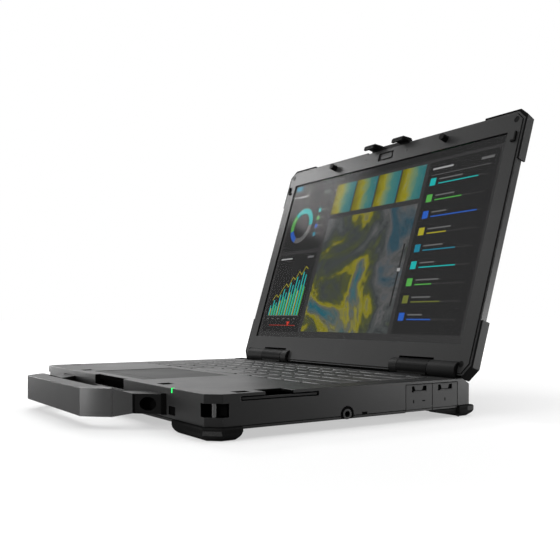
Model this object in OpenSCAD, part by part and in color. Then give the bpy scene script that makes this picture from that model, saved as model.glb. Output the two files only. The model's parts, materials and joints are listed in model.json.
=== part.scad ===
// Rugged notebook computer, lid open, with a rigid carry handle.
// X runs to the right, Y to the back and Z up. The feet stand on Z = 0, X = 0 is
// the middle of the case, and Y = 0 is the middle of the whole depth.

/* [Base] */
// Width of the base case, without its rubber feet
base_w = 340; // [336:1:346]
// Depth of the base case, without the carry handle
base_d = 211.6; // [209:0.2:216]
// Height of the palm rest above the table
deck_z = 28; // [28:0.5:30]
// Height of the case above the table
foot_h = 6.5; // [5.5:0.25:6.5]
// Length that each front corner loses to its diagonal cut
corner_cut = 8.3; // [7:0.1:9]
// Thickness of the side and front walls
wall = 2.2; // [2:0.1:2.6]
// Thickness of the palm rest
deck_t = 2; // [1.8:0.1:2.2]
// Thickness of the bottom cover
floor_t = 1.9; // [1.6:0.1:2]

/* [Carry handle] */
// Distance that the handle reaches in front of the case
handle_reach = 42.6; // [38:0.2:48]
// Distance from each side of the case to the end of the grip's flat front face
grip_side = 104.2; // [102:0.2:108]
// Thickness of the grip from front to back
grip_t = 13.4; // [12:0.2:15]
// Height of the grip
grip_h = 18.9; // [17:0.1:19.5]
// Height of the blocks that join the handle to the case
handle_end_h = 13.2; // [12:0.1:14]

/* [Keyboard and touchpad] */
// Distance from each side of the case to the keyboard well
kb_side = 21; // [20:0.5:23]
// Depth of the palm rest in front of the keyboard well
palm_d = 90.2; // [89:0.2:93]
// Gap between two key caps
key_gap = 2.4; // [2:0.1:3]
// Distance that a key travels
key_travel = 1.8; // [1.2:0.1:1.8]
// Depth of the function keys
fn_key_d = 9.6; // [8:0.1:11]
// Width of the touchpad
pad_w = 107; // [96:1:112]
// Depth of the two buttons in front of the touchpad
pad_button_d = 9.8; // [8:0.1:12]

/* [Lid] */
// Angle between the lid and the base
lid_open = 107.15; // [95:0.05:125]
// Thickness of the lid
lid_t = 8.6; // [8.4:0.1:9.2]
// Gap between the palm rest and the shut lid
lid_gap = 0.7; // [0.6:0.05:0.9]
// Width of the lid on each side of the picture area
screen_side = 15.3; // [14:0.1:20]
// Distance from the hinge axis up to the picture area
screen_s = 20.5; // [20:0.1:24]
// Distance that the corner bumpers stand out
bumper_out = 2; // [1.2:0.1:2]
// Height of the locating pegs at the top of the lid
peg_h = 6; // [4:0.1:6]

/* [Hinges] */
// Radius of the hinge barrels
barrel_r = 7.5; // [7:0.1:7.8]
// Radius of the hinge shafts
shaft_r = 2; // [1.6:0.1:2]
// Height of the hinge axis above the palm rest
hinge_rise = 4.4; // [4.2:0.1:4.8]
// Distance of the hinge axis behind the rear face of the base
hinge_back = 3.3; // [3:0.1:3.8]
// Distance from each side of the case to the inner end of a hinge bracket
hinge_side = 79; // [76:1:84]
// Length of a hinge bracket's barrel
knuckle_len = 36; // [32:1:38]

/* [Ports] */
// Length of the card slot
card_slot_len = 55.9; // [54:0.1:58]
// Height of the card slot
card_slot_h = 2.7; // [2:0.1:3]
// Width of one port door
door_w = 24.6; // [22:0.1:25]
// Bore of the headset jack
jack_bore = 3.5; // [3.5:0.1:3.6]

/* [Hidden] */
$fn = 48;

// Shared gaps: eps clears a cut's face, slack parts two bodies, run is a shaft's fit
eps = 0.1;
slack = 0.3;
run = 0.05;

// Heights of the base, from the table up
half_w = base_w / 2;
half_d = base_d / 2;
split_z = foot_h + floor_t;
deck_under = deck_z - deck_t;
rear_slope = [6.4, 4];
rear_rail = 6.6;
corner_block = 22;

// Hinge axis and the lid's own frame: x to the right, s up the lid and n to its front
hinge_y = half_d + hinge_back;
hinge_z = deck_z + hinge_rise;
lid_lean = 180 - lid_open;
front_n = hinge_rise - lid_gap;
back_n = front_n - lid_t;
lid_bottom = -4.6;
lid_top = base_d + hinge_back - bumper_out - 0.4;
lid_half = half_w;
lid_cut_top = [8, 7];
lid_cut_bottom = [7.1, 8.6];

// Middle of the whole depth, from the grip to the top corner bumpers
bumper_wrap = 0.4;
lid_back_y = hinge_y + (lid_top + bumper_out) * cos(lid_lean)
    - (back_n - bumper_wrap) * sin(lid_lean);
depth_mid = (lid_back_y - half_d - handle_reach) / 2;

// Keyboard: five full rows and a row of function keys, in units of one key's width
kb_back = 19.4;
kb_w = base_w - 2 * kb_side;
kb_x = [-kb_w / 2, kb_w / 2];
kb_y = [-half_d + palm_d, half_d - kb_back];
kb_edge = 0.8;
kb_flange = 3;
key_top = deck_z + 0.1;
key_h = 2.1;
key_low = key_top - key_h;
tray_t = 1.2;
tray_z = key_low - key_travel - 0.6 - tray_t;
stem = 4;
stem_low = tray_z - 0.4;
key_rows = [
    [1.25, 1.25, 1.25, 1.25, 4.25, 1.25, 1.25, 1.25, 1.25, 1.25],
    [2.25, 1, 1, 1, 1, 1, 1, 1, 1, 1, 1, 3.25],
    [1.75, 1, 1, 1, 1, 1, 1, 1, 1, 1, 1, 1, 2.75],
    [1.5, 1, 1, 1, 1, 1, 1, 1, 1, 1, 1, 1, 1, 2],
    [1, 1, 1, 1, 1, 1, 1, 1, 1, 1, 1, 1, 1, 2.5],
    [1.5, 1, 1, 1, 1, 1, 1, 1, 1, 1, 1, 1, 1, 1, 1]
];
row_units = 15.5;
unit_w = (kb_w - 2 * kb_edge) / row_units;
row_d = (kb_y[1] - kb_y[0] - 2 * kb_edge - fn_key_d) / 5;
free_below = stem_low - key_travel - 0.4;

// Touchpad, centred under the space bar
pad_mid = -12.5;
pad_x = [pad_mid - pad_w / 2, pad_mid + pad_w / 2];
pad_y = [-half_d + 11.8, kb_y[0] - 10.2];
pad_split = pad_y[0] + pad_button_d;
pad_line = 0.3;
pad_top = deck_z - 0.3;
pad_carrier_t = 1.2;
pad_button_t = 0.9;
pad_flange = 2.4;

// Power button behind the keyboard, at the right
power_x = [half_w - 44, half_w - 30];
power_y = [half_d - 15.2, half_d - 10.4];
power_flange = [-0.8, 0.8];

// Corner posts for a strap
post_in = 5.5;
post_r = 1.5;
post_z = [deck_z - 13.9, deck_z - 5.7];
notch_r = 8.75;
post_at = [half_w - post_in, -half_d + post_in];

// Latch recess in the front edge, and the slot behind its lip
latch_half = 31;
latch_depth = 4.3;
latch_slot_depth = 7.3;
latch_z = deck_z - 7.5;
latch_lip_z = deck_z - 3.9;
rail_depth = 10.3;

// Pockets in the palm rest for the lid's pegs and corner catches
peg_x = half_w - 87.5;
peg_s = lid_top - 8.5;
peg_r = 3;
peg_y = hinge_y - peg_s;
peg_boss = [8.6, 2.4, 8.6];
peg_pocket = [6, 4.4];
catch_x = [half_w - 9.2, half_w - 4.4];
catch_s = [lid_top - 27, lid_top - 18.6];
catch_t = 1.6;
catch_h = 1.6;

// Small openings in the front edge
led_x = half_w - 54;
led_w = 1.4;
led_h = 3;
tether_x = [half_w - 59.4, half_w - 49];
tether_z = [foot_h + 4.3, foot_h + 9.9];
tether_depth = 1.4;

// Card slot, finger cut and headset jack in the right side
card_y = [-half_d + 20.5, -half_d + 20.5 + card_slot_len];
card_z = [deck_under - card_slot_h, deck_under];
finger_y = [-half_d + 37.3, -half_d + 57.3];
finger_in = 15;
reader_in = 76;
reader_t = 1.4;
jack_at = [card_y[1] + 22.7, split_z + 1.2];
jack_r = 5.2;
jack_len = 14;

// Port doors in the right side, drive door in the left side
door_back = 12;
doors_y = [half_d - door_back - 2 * door_w - 0.7, half_d - door_back];
door_z = [foot_h + 0.4, deck_under - 0.3];
door_t = 2.1;
door_axis = [1.1, split_z + 1.4];
door_pin_r = 0.5;
door_seal_t = 1.4;
door_seal_edge = 3;
door_notch = 5;
door_grip = [13.6, 5.2, 1.2];
drive_y = [-half_d + 43.8, -half_d + 103.8];

// Carry handle: half of its outer outline from the grip's end to the end block, and
// half of its inner outline, both measured from the end of the grip
grip_w = base_w - 2 * grip_side;
grip_z = [deck_z - 1.1 - grip_h, deck_z - 1.1];
end_z = [deck_z - 4.5 - handle_end_h, deck_z - 4.5];
end_x = half_w - 62;
end_w = 26;
handle_outer = [[12.5, 11.6], [18.2, 19.4], [24.2, 26.9]];
handle_inner = [[-3.8, 8.4], [-9.8, 0]];
handle_low = 16.4;
socket = [5.9, 4.3, 5.5];
socket_along = 0.45;

// Screws: the places of the case screws, and the bosses that they enter
screw_r = 1.25;
screw_head_r = 2.6;
screw_head_h = 1;
boss_r = 3.6;
boss_at = [
    [end_x, -half_d + 7.8], [-end_x, -half_d + 7.8], [half_w - 8, card_y[1] + 9.4],
    [-half_w + 8, -half_d + 25.8], [half_w - 8, doors_y[0] - 9.9],
    [-half_w + 8, doors_y[0] - 9.9],
    [half_w - 8, half_d - 9.8], [-half_w + 8, half_d - 9.8], [0, half_d - 10.3]
];
bolt_x = end_x - 21;
bolt_z = 15;
bolt_r = 2;
bolt_head = [3.6, 2.6];
bolt_len = 12.4;

// Inside the base
board_x = [-half_w + 20, half_w - 22];
board_y = [half_d - 125.8, half_d - 17.8];
board_z = [split_z + 2.6, split_z + 4];
standoff_r = 3.2;
standoffs = [
    [board_x[0] + 10, board_y[0] + 8], [0, board_y[0] + 8],
    [board_x[1] - 8, board_y[0] + 8], [-30, board_y[1] - 2],
    [60, board_y[1] - 2], [board_x[1] - 8, board_y[1] - 6]
];
cpu = [20, 1];
cpu_at = [-20, board_y[1] - 33];
fan_x = [board_x[0] + 6, board_x[0] + 70];
fan_y = [board_y[1] - 70, board_y[1] - 8];
fan_t = 1;
fan_pin_r = 2;
fan_r = 28;
fan_blades = 13;
fins_y = [board_y[1] - 6, half_d - 7];
pipe_r = 2.4;
pipe_z = board_z[1] + cpu[1] + 1.2 + pipe_r;
vent_slots = 9;
vent_slot = [3, 7.5];
fan_z = [board_z[1], free_below];
fan_mid = [(fan_x[0] + fan_x[1]) / 2, (fan_y[0] + fan_y[1]) / 2];
fan_hub_r = 11;
fin_pitch = 4;
fins = 16;
power_jack_x = [52, 64];
power_jack_z = [split_z + 2.6, split_z + 12.6];
power_jack_r = 3.7;

// Modules inside the base, each as its ranges along x and y and its height
battery = [[56 - half_w, half_w - 56], [-half_d + 14, board_y[0] - 3], 8];
speaker = [[half_w - 46, half_w - 18], [-half_d + 28, -half_d + 66], 6];
ssd = [[-108, -28] + [1, 1] * board_x[1], [6, 28] + [1, 1] * board_y[0], 2.4];
memory = [[-108, -40] + [1, 1] * board_x[1], [36, 66] + [1, 1] * board_y[0], 4];
wireless = [[-32, -10] + [1, 1] * board_x[1], [36, 66] + [1, 1] * board_y[0], 2.4];
sockets = [[6.2, 2.6], [7.4, 2.4]];
socket_depth = 11;

// Lid: shell, bezel, glass and panel
rim_drop = 0.8;
skin = 1.6;
bezel_t = 2.2;
bezel_lip = 0.8;
bezel_inset = 1.9;
bezel_back = front_n - bezel_t;
glass_t = 0.8;
screen_w = base_w - 2 * screen_side;
screen_h = lid_top - 18 - screen_s;
window_edge = 0.5;
glass_edge = 2.8;
panel_t = 3.3;
back_chamfer = 1.8;
lid_post_r = 3;
bumper_top_x = half_w - 45;
bumper_top_s = lid_top - 42;
bumper_bottom_s = 39.6;
antenna_x = [half_w - 110, half_w - 58];
antenna_s = [lid_top - 15, lid_top - 6];

// Hinges
knuckle = [half_w - hinge_side, half_w - hinge_side + knuckle_len];
notch_x = [knuckle[0] - 2.6, knuckle[1] + 2.6];
notch_s = barrel_r + 0.5;
cover_small = knuckle[0] - 10.5;
cover_large = knuckle[1] + 31;
shaft_x = [knuckle[0] - 7, knuckle[1] + 13];
leaf_s = [-0.9, 24];
leaf_t = 1.2;

// Camera, its shutter and the microphones
cam_half = 10.8;
cam_s = [lid_top - 13.2, lid_top - 5.1];
cam_mid = (cam_s[0] + cam_s[1]) / 2;
cam_depth = 1.6;
cam_lens_x = 6.2;
cam_lens_r = 1.5;
shutter_x = [-6.2, 8.8];
shutter_travel = 4.2;
shutter_d = 5.3;
shutter_mid = [1, 1] * (shutter_x[0] + shutter_x[1]) / 2;
tongue = [3.6, 1.2];
mic_x = 30.9;
mic_r = 0.6;

// Lid screws
lid_screw_top = [half_w - 8, lid_top - 7.5];
lid_screw_bottom = [half_w - 9.6, lid_bottom + 9];
lid_screw_r = 2.7;
lid_screw_h = 0.9;

// Latch: a bar on a pin in the lid's top edge, with two hooks
latch_s = lid_top - 2.9;
latch_n = -0.6;
latch_bar_r = 1.9;
latch_pin_r = 1;
latch_room = 5.6;
hook_x = [13.6, 28.5];
hook_reach = front_n + 7.3;
hook_top = lid_top + 5.5;

// Feet
foot_out = 1.9;
foot_wrap = 2;
foot_slope = 3.3;
foot_edge = 3.2;
foot_front_x = half_w - 51;
foot_front_y = -half_d + 21;
foot_rear_x = half_w - 37;
foot_rear_y = half_d - 12;
foot_rear_out = 3.8;
foot_ramp = 29;

// Block between two corners, given as ranges along x, y and z
module block(x, y, z) {
    translate([x[0], y[0], z[0]]) cube([x[1] - x[0], y[1] - y[0], z[1] - z[0]]);
}

// Upright prism on a plan
module upright(z) {
    translate([0, 0, z[0]]) linear_extrude(z[1] - z[0]) children();
}

// Prism along x with its outline in y and z
module prism_x(x, outline) {
    translate([x[0], 0, 0]) rotate([90, 0, 90]) linear_extrude(x[1] - x[0])
        polygon(outline);
}

// Cylinder along x, centred on a point in y and z
module rod_x(x, at, r) {
    translate([x[0], at[0], at[1]]) rotate([0, 90, 0]) cylinder(h=x[1] - x[0], r=r);
}

// Cylinder along y, centred on a point in x and z
module rod_y(y, at, r) {
    translate([at[0], y[1], at[1]]) rotate([90, 0, 0]) cylinder(h=y[1] - y[0], r=r);
}

// The children on both sides of the middle
module both_sides() {
    children();
    mirror([1, 0, 0]) children();
}

// The children on the left side
module left_side() {
    mirror([1, 0, 0]) children();
}

// Puts base pieces in place
module in_base() {
    translate([0, -depth_mid, 0]) children();
}

// Puts lid pieces in place
module in_lid() {
    translate([0, hinge_y - depth_mid, hinge_z]) rotate([lid_lean, 0, 0]) children();
}

// Plan of the base, drawn in by an inset
module base_plan(inset=0, rear=0, cut=corner_cut) {
    w = half_w - inset;
    f = -half_d + inset;
    r = half_d - rear;
    polygon([[cut - w, f], [w - cut, f], [w, f + cut], [w, r], [-w, r], [-w, f + cut]]);
}

// Plan of the lid, drawn in by an inset
module lid_plan(inset=0) {
    w = lid_half - inset;
    b = lid_bottom + inset;
    t = lid_top - inset;
    ct = lid_cut_top - [inset, inset] * 0.4;
    cb = lid_cut_bottom - [inset, inset] * 0.4;
    polygon([
        [cb[0] - w, b], [w - cb[0], b], [w, b + cb[1]], [w, t - ct[1]],
        [w - ct[0], t], [ct[0] - w, t], [-w, t - ct[1]], [-w, b + cb[1]]
    ]);
}

// Left edge of a key in its row
function key_left(row, i) = kb_x[0] + kb_edge
    + (i == 0 ? 0 : unit_w * total([for (k = [0:i - 1]) key_rows[row][k]]));
function total(list, i=0) = i < len(list) ? list[i] + total(list, i + 1) : 0;
// Front edge of a row, and its depth
function row_front(row) = kb_y[0] + kb_edge + row * row_d;
function row_depth(row) = row == 5 ? fn_key_d : row_d;
// Middle of a key
function key_mid(row, i) = [
    key_left(row, i) + key_rows[row][i] * unit_w / 2,
    row_front(row) + row_depth(row) / 2
];
// Length of a stem, shorter on the function keys
function stem_d(row) = row == 5 ? stem - 1 : stem;

// Main housing: side walls and palm rest in one casting
module base_frame() {
    color("#3a3b3d") in_base() difference() {
        union() {
            difference() {
                upright([split_z, deck_z]) base_plan();
                upright([split_z - eps, deck_under])
                    base_plan(wall, rear_rail, corner_block);
            }
            block([-latch_half - 4, latch_half + 4], [-half_d + eps, -half_d + rail_depth],
                [latch_z - 2, deck_z - eps]);
            both_sides() block([peg_x - peg_boss[0], peg_x + peg_boss[0]],
                [-half_d + eps, peg_y + peg_pocket[1] + peg_boss[1]],
                [deck_z - peg_boss[2], deck_z - eps]);
            for (at = boss_at)
                translate([at[0], at[1], split_z])
                    cylinder(h=deck_under - split_z + eps, r=boss_r);
        }
        prism_x([-half_w - eps, half_w + eps], [
            [half_d - rear_slope[0], deck_z + eps], [half_d - rear_slope[0], deck_z],
            [half_d, deck_z - rear_slope[1]], [half_d + eps, deck_z - rear_slope[1]],
            [half_d + eps, deck_z + eps]
        ]);
        block(kb_x, kb_y, [deck_under - eps, deck_z + eps]);
        block([pad_x[0] - pad_line, pad_x[1] + pad_line],
            [pad_y[0] - pad_line, pad_y[1] + pad_line], [deck_under - eps, deck_z + eps]);
        block(power_x, power_y, [deck_under - eps, deck_z + eps]);
        both_sides() front_cuts();
        latch_cuts();
        block([led_x - led_w / 2, led_x + led_w / 2], [-half_d - eps, -half_d + wall + eps],
            [deck_z - led_h, deck_z + eps]);
        block(tether_x, [-half_d - eps, -half_d + tether_depth], tether_z);
        side_cuts();
        rear_cuts();
        for (at = boss_at)
            translate([at[0], at[1], split_z - eps])
                cylinder(h=deck_under - split_z - 4, r=screw_r);
        both_sides() rod_y([-half_d - eps, -half_d + wall + eps], [bolt_x, bolt_z], bolt_r);
    }
}

// Cuts on each side of the front: strap notch, peg pocket and catch pocket
module front_cuts() {
    translate([post_at[0], post_at[1], post_z[0]])
        cylinder(h=post_z[1] - post_z[0], r=notch_r);
    block([peg_x - peg_pocket[0], peg_x + peg_pocket[0]],
        [peg_y - peg_pocket[1], peg_y + peg_pocket[1]],
        [deck_z - peg_h - lid_gap, deck_z + eps]);
    block([catch_x[0] - 3.8, catch_x[1] + 0.7],
        [hinge_y - catch_s[1] - 0.8, hinge_y - catch_s[0] + 0.8],
        [deck_z - catch_h + 0.3, deck_z + eps]);
}

// Recess for the hooks, and the slot behind it that they turn into
module latch_cuts() {
    block([-latch_half, latch_half], [-half_d - eps, -half_d + latch_depth],
        [latch_z, deck_z + eps]);
    block([-latch_half, latch_half], [-half_d, -half_d + latch_slot_depth],
        [latch_z, latch_lip_z]);
}

// Cuts in the two sides: card slot, finger cut, jack hole and door openings
module side_cuts() {
    block([half_w - finger_in, half_w + eps], card_y, card_z);
    block([half_w - finger_in, half_w + eps], finger_y, [card_z[0], deck_z + eps]);
    rod_x([half_w - wall - 1, half_w + eps], jack_at, jack_r);
    block([half_w - door_notch, half_w + eps], doors_y, [split_z - eps, deck_under]);
    block([-half_w - eps, door_notch - half_w], drive_y, [split_z - eps, deck_under]);
    door_rods(door_pin_r);
}

// Rods on the axes of the doors
module door_rods(r) {
    rod_y([doors_y[0] - 3, doors_y[1] + 3], [half_w - door_axis[0], door_axis[1]], r);
    rod_y([drive_y[0] - 3, drive_y[1] + 3], [door_axis[0] - half_w, door_axis[1]], r);
}

// Cuts in the rear rail: air vents and the power socket
module rear_cuts() {
    pitch = (fan_x[1] - fan_x[0] - 8) / vent_slots;
    for (i = [0:vent_slots - 1])
        block([0, vent_slot[0]] + [1, 1] * (fan_x[0] + 6 + i * pitch),
            [half_d - rear_rail - 1, half_d + eps], [0, vent_slot[1]] + [1, 1] * board_z[1]);
    block(power_jack_x, [half_d - rear_rail - 1, half_d + eps], power_jack_z);
}

// Bottom cover: a plate with standoffs for the board and slots for cooling air
module bottom_cover() {
    color("#2b2c2e") in_base() difference() {
        union() {
            upright([foot_h, split_z]) base_plan();
            for (at = standoffs)
                translate([at[0], at[1], split_z - eps])
                    cylinder(h=board_z[0] - split_z + eps, r=standoff_r);
        }
        rod_x([half_w - jack_len, half_w + eps], jack_at, jack_r);
        block([half_w - door_notch, half_w + eps], doors_y, [foot_h - eps, split_z + eps]);
        block([-half_w - eps, door_notch - half_w], drive_y, [foot_h - eps, split_z + eps]);
        for (i = [0:vent_slots - 1])
            block([0, vent_slot[0]] + [1, 1] * (fan_x[0] + 7 + i * 6), [fan_y[0] + 8, fan_y[1] - 8],
                [foot_h - eps, split_z + eps]);
        for (at = boss_at) {
            translate([at[0], at[1], foot_h - eps]) cylinder(h=floor_t + 2 * eps, r=screw_r);
            translate([at[0], at[1], foot_h - eps])
                cylinder(h=screw_head_h + eps, r=screw_head_r);
        }
    }
}

// Screws that hold the bottom cover to the main housing
module case_screws() {
    color("#55575a") in_base() for (at = boss_at)
        translate([at[0], at[1], foot_h]) {
            cylinder(h=screw_head_h, r=screw_head_r);
            cylinder(h=floor_t + 8, r=screw_r);
        }
}

// Keyboard tray: a plate with a guide hole for each key, in a frame under the palm rest
module keyboard_tray() {
    outer_x = kb_x + [-kb_flange, kb_flange];
    outer_y = kb_y + [-kb_flange, kb_flange];
    color("#1d1e20") in_base() difference() {
        block(outer_x, outer_y, [tray_z, deck_under]);
        block(kb_x, kb_y, [tray_z + tray_t, deck_under + eps]);
        for (row = [0:5]) for (i = [0:len(key_rows[row]) - 1])
            at_key(row, i) cube([stem + 0.6, stem_d(row) + 0.6, 2 * tray_t], center=true);
    }
}

// The children at the middle of a key, at the height of the tray
module at_key(row, i) {
    at = key_mid(row, i);
    translate([at[0], at[1], tray_z + tray_t / 2]) children();
}

// One row of keys, each a cap on a stem that slides in the tray
module key_row(row) {
    color("#26272a") in_base() for (i = [0:len(key_rows[row]) - 1]) {
        at = key_mid(row, i);
        w = key_rows[row][i] * unit_w - key_gap;
        d = row_depth(row) - key_gap + (row == 5 ? 0.8 : 0);
        translate([at[0], at[1], key_low + key_h / 2]) cube([w, d, key_h], center=true);
        translate([at[0], at[1], (stem_low + key_low) / 2])
            cube([stem, stem_d(row), key_low - stem_low + eps], center=true);
    }
}

// Touchpad and the carrier that holds it under the palm rest
module touchpad() {
    color("#48494c") in_base() {
        block(pad_x, [pad_split + pad_line, pad_y[1]], [deck_under - eps, pad_top]);
        difference() {
            block([pad_x[0] - pad_flange, pad_x[1] + pad_flange],
                [pad_y[0] - 0.9, pad_y[1] + pad_flange],
                [deck_under - pad_carrier_t, deck_under]);
            for (side = [0, 1]) pad_stem(side, 0.6);
        }
    }
}

// Range along x of a touchpad button: 0 is the left one and 1 the right one
function pad_button_x(side) = side == 0
    ? [pad_x[0], pad_mid - pad_line] : [pad_mid + pad_line, pad_x[1]];

// Stem of a touchpad button
module pad_stem(side, extra=0) {
    x = pad_button_x(side);
    mid = [(x[0] + x[1]) / 2, (pad_y[0] + pad_split) / 2];
    reach = (stem + extra) / 2;
    block([mid[0] - reach, mid[0] + reach], [mid[1] - reach, mid[1] + reach],
        [deck_under - 2, pad_top - pad_button_t + eps]);
}

// Touchpad button
module touch_button(side) {
    color("#434447") in_base() {
        block(pad_button_x(side), [pad_y[0], pad_split], [pad_top - pad_button_t, pad_top]);
        pad_stem(side);
    }
}

// Power button, held under the palm rest by its flange
module power_button() {
    color("#2a2b2d") in_base() {
        block(power_x + [slack, -slack], power_y + [slack, -slack],
            [deck_under - eps, deck_z - 0.1]);
        block(power_x + power_flange, power_y + power_flange, [deck_under - 1.4, deck_under]);
    }
}

// The handle's plan: its right half, and the same points mirrored
module handle_plan() {
    front = -half_d - handle_reach;
    right = concat([[grip_w / 2, front]],
        [for (p = handle_outer) [grip_w / 2 + p[0], front + p[1]]],
        [[end_x, -half_d], [end_x - end_w, -half_d]],
        [for (p = handle_inner) [grip_w / 2 + p[0], front + grip_t + p[1]]]);
    last = len(right) - 1;
    polygon(concat(right, [for (i = [0:last]) [-right[last - i][0], right[last - i][1]]]));
}

// Carry handle: grip, slanting sides and the two end blocks, with a socket in each end
module carry_handle() {
    front = -half_d - handle_reach;
    block_y = front + handle_outer[2][1];
    color("#3c3d40") in_base() difference() {
        intersection() {
            upright(grip_z) handle_plan();
            prism_x([-half_w, half_w], [
                [front, grip_z[0]], [front + handle_low, grip_z[0]], [block_y, end_z[0]],
                [-half_d, end_z[0]], [-half_d, end_z[1]], [block_y, end_z[1]],
                [front + handle_low, grip_z[1]], [front, grip_z[1]]
            ]);
        }
        both_sides() stylus_socket();
        both_sides() rod_y([-half_d - bolt_len + wall, -half_d + eps], [bolt_x, bolt_z], bolt_r);
    }
}

// Oval socket in the slanting end face of the handle
module stylus_socket() {
    from = [grip_w / 2 + handle_outer[2][0], -half_d - handle_reach + handle_outer[2][1]];
    to = [end_x, -half_d];
    turn = atan2(to[1] - from[1], to[0] - from[0]);
    at = from + socket_along * (to - from);
    translate([at[0], at[1], (end_z[0] + end_z[1]) / 2])
        rotate([90, 0, turn]) translate([0, 0, -socket[2]])
            linear_extrude(2 * socket[2]) scale([socket[0] / socket[1], 1]) circle(socket[1]);
}

// Bolts that hold the handle, put in from inside the front wall
module handle_bolts() {
    y = -half_d + wall;
    color("#6a6c70") in_base() both_sides() {
        rod_y([y, y + bolt_head[1]], [bolt_x, bolt_z], bolt_head[0]);
        rod_y([y - bolt_len, y + eps], [bolt_x, bolt_z], bolt_r);
    }
}

// One front foot, wrapped round the corner: a bar along the front and one along the side
module foot_front() {
    x = half_w + foot_out;
    y = -half_d - foot_out;
    c = corner_cut + 0.8;
    r = foot_slope;
    color("#151516") in_base() difference() {
        union() {
            foot_bar([[foot_front_x, y], [x - c, y], [x, y + c], [x, y + 16], [foot_front_x, y + 16]],
                [[foot_front_x + r, y + r], [x - c - 1, y + r], [x - r, y + c + 1],
                [x - r, y + 13], [foot_front_x + r, y + 13]]);
            foot_bar([[x - 24, y + 11], [x, y + 11], [x, foot_front_y], [x - 24, foot_front_y]],
                [[x - 21, y + 11], [x - r, y + 11], [x - r, foot_front_y - r],
                [x - 21, foot_front_y - r]]);
        }
        upright([foot_h, deck_z]) base_plan();
    }
}

// Bar of a rubber foot: upright above, and slanting in to its sole below
module foot_bar(plan, sole) {
    hull() {
        upright([foot_edge, foot_h + foot_wrap]) polygon(plan);
        upright([0, foot_edge]) polygon(sole);
    }
}

// One rear foot: an angle round the corner with a ramp in front of it
module foot_rear() {
    x = half_w + foot_out;
    y = half_d + foot_rear_out;
    r = foot_slope;
    color("#151516") in_base() difference() {
        union() {
            foot_bar([[foot_rear_x, y - 16], [x, y - 16], [x, y], [foot_rear_x, y]],
                [[foot_rear_x + r, y - 13], [x - r, y - 13], [x - r, y - r - 2],
                [foot_rear_x + r, y - r - 2]]);
            prism_x([x - 17, x - 2.4], [[foot_rear_y - foot_ramp, foot_h],
                [foot_rear_y + 2.5, 0.6], [foot_rear_y + 2.5, foot_h]]);
        }
        upright([foot_h, deck_z]) base_plan();
    }
}

// Steel posts across the corner notches, for a shoulder strap
module strap_posts() {
    color("#9a9b9d") in_base() both_sides()
        translate([post_at[0], post_at[1], post_z[0]])
            cylinder(h=post_z[1] - post_z[0], r=post_r);
}

// Hinge bracket: a barrel on an arm that sits on the rear slope and rear face of the base
module hinge_bracket() {
    arm = [knuckle[0] + 1, knuckle[1] - 1];
    slope = rear_slope[1] / rear_slope[0];
    y0 = half_d - rear_slope[0] + 2.6;
    color("#202123") in_base() difference() {
        union() {
            rod_x(knuckle, [hinge_y, hinge_z], barrel_r);
            prism_x(arm, [
                [y0, deck_z - 2.6 * slope], [half_d, deck_z - rear_slope[1]],
                [half_d, split_z + 5], [half_d + 3, split_z + 5],
                [hinge_y + barrel_r * 0.8, hinge_z - barrel_r * 0.6],
                [hinge_y, hinge_z], [y0, hinge_z - 3]
            ]);
        }
        rod_x([knuckle[0] - eps, knuckle[1] + eps], [hinge_y, hinge_z], shaft_r + run);
    }
}

// Battery pack on the bottom cover
module battery_pack() {
    color("#2d2f33") in_base()
        block(battery[0], battery[1], [split_z, split_z + battery[2]]);
}

// Main board with its processor package
module main_board() {
    color("#1f4a33") in_base() {
        block(board_x, board_y, board_z);
        translate([cpu_at[0] - cpu[0] / 2, cpu_at[1] - cpu[0] / 2, board_z[1] - eps])
            cube([cpu[0], cpu[0], cpu[1] + eps]);
    }
}

// Fan housing, open above and towards the fins, with the rotor's pin
module fan_housing() {
    color("#2a2b2e") in_base() {
        difference() {
            block(fan_x, fan_y, fan_z);
            translate([fan_mid[0], fan_mid[1], fan_z[0] + fan_t])
                cylinder(h=fan_z[1] - fan_z[0], r=fan_r);
            block([fan_mid[0] - fan_r, fan_mid[0] + fan_r], [fan_mid[1], fan_y[1] + eps],
                [fan_z[0] + fan_t, fan_z[1] - fan_t]);
        }
        translate([fan_mid[0], fan_mid[1], fan_z[0]])
            cylinder(h=fan_z[1] - fan_z[0] - 1, r=fan_pin_r);
    }
}

// Fan rotor: a hub with a ring of blades
module fan_rotor() {
    low = fan_z[0] + fan_t + 0.4;
    high = fan_z[1] - 0.8;
    color("#3a3b3f") in_base() translate([fan_mid[0], fan_mid[1], 0]) difference() {
        union() {
            translate([0, 0, low]) cylinder(h=high - low, r=fan_hub_r);
            for (i = [0:fan_blades - 1]) rotate([0, 0, i * 360 / fan_blades])
                translate([fan_hub_r - 2, -0.5, low + 0.6])
                    cube([fan_r - fan_hub_r, 1, high - low - 1.2]);
        }
        translate([0, 0, low - eps]) cylinder(h=high - low + 2 * eps, r=fan_pin_r + run);
    }
}

// Heat sink: fins in front of the vents, a heat pipe and a plate on the processor
module heat_sink() {
    pipe_y = fins_y[0] + 6;
    first = fan_x[0] + 2;
    fin = 0.6;
    color("#b0713f") in_base() {
        for (i = [0:fins - 1])
            block([0, fin] + [1, 1] * (first + i * fin_pitch), fins_y, fan_z);
        block([first, first + (fins - 1) * fin_pitch + fin], fins_y,
            [board_z[1], board_z[1] + 0.8]);
        rod_x([fan_x[0] + 4, cpu_at[0] + pipe_r], [pipe_y, pipe_z], pipe_r);
        rod_y([cpu_at[1] - 9, pipe_y], [cpu_at[0], pipe_z], pipe_r);
        translate([cpu_at[0], cpu_at[1], board_z[1] + cpu[1] + 0.7])
            cube([24, 24, 1.4], center=true);
    }
}

// Solid-state drive on the board
module ssd_module() {
    color("#233f5c") in_base()
        block(ssd[0], ssd[1], [board_z[1], board_z[1] + ssd[2]]);
}

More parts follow.
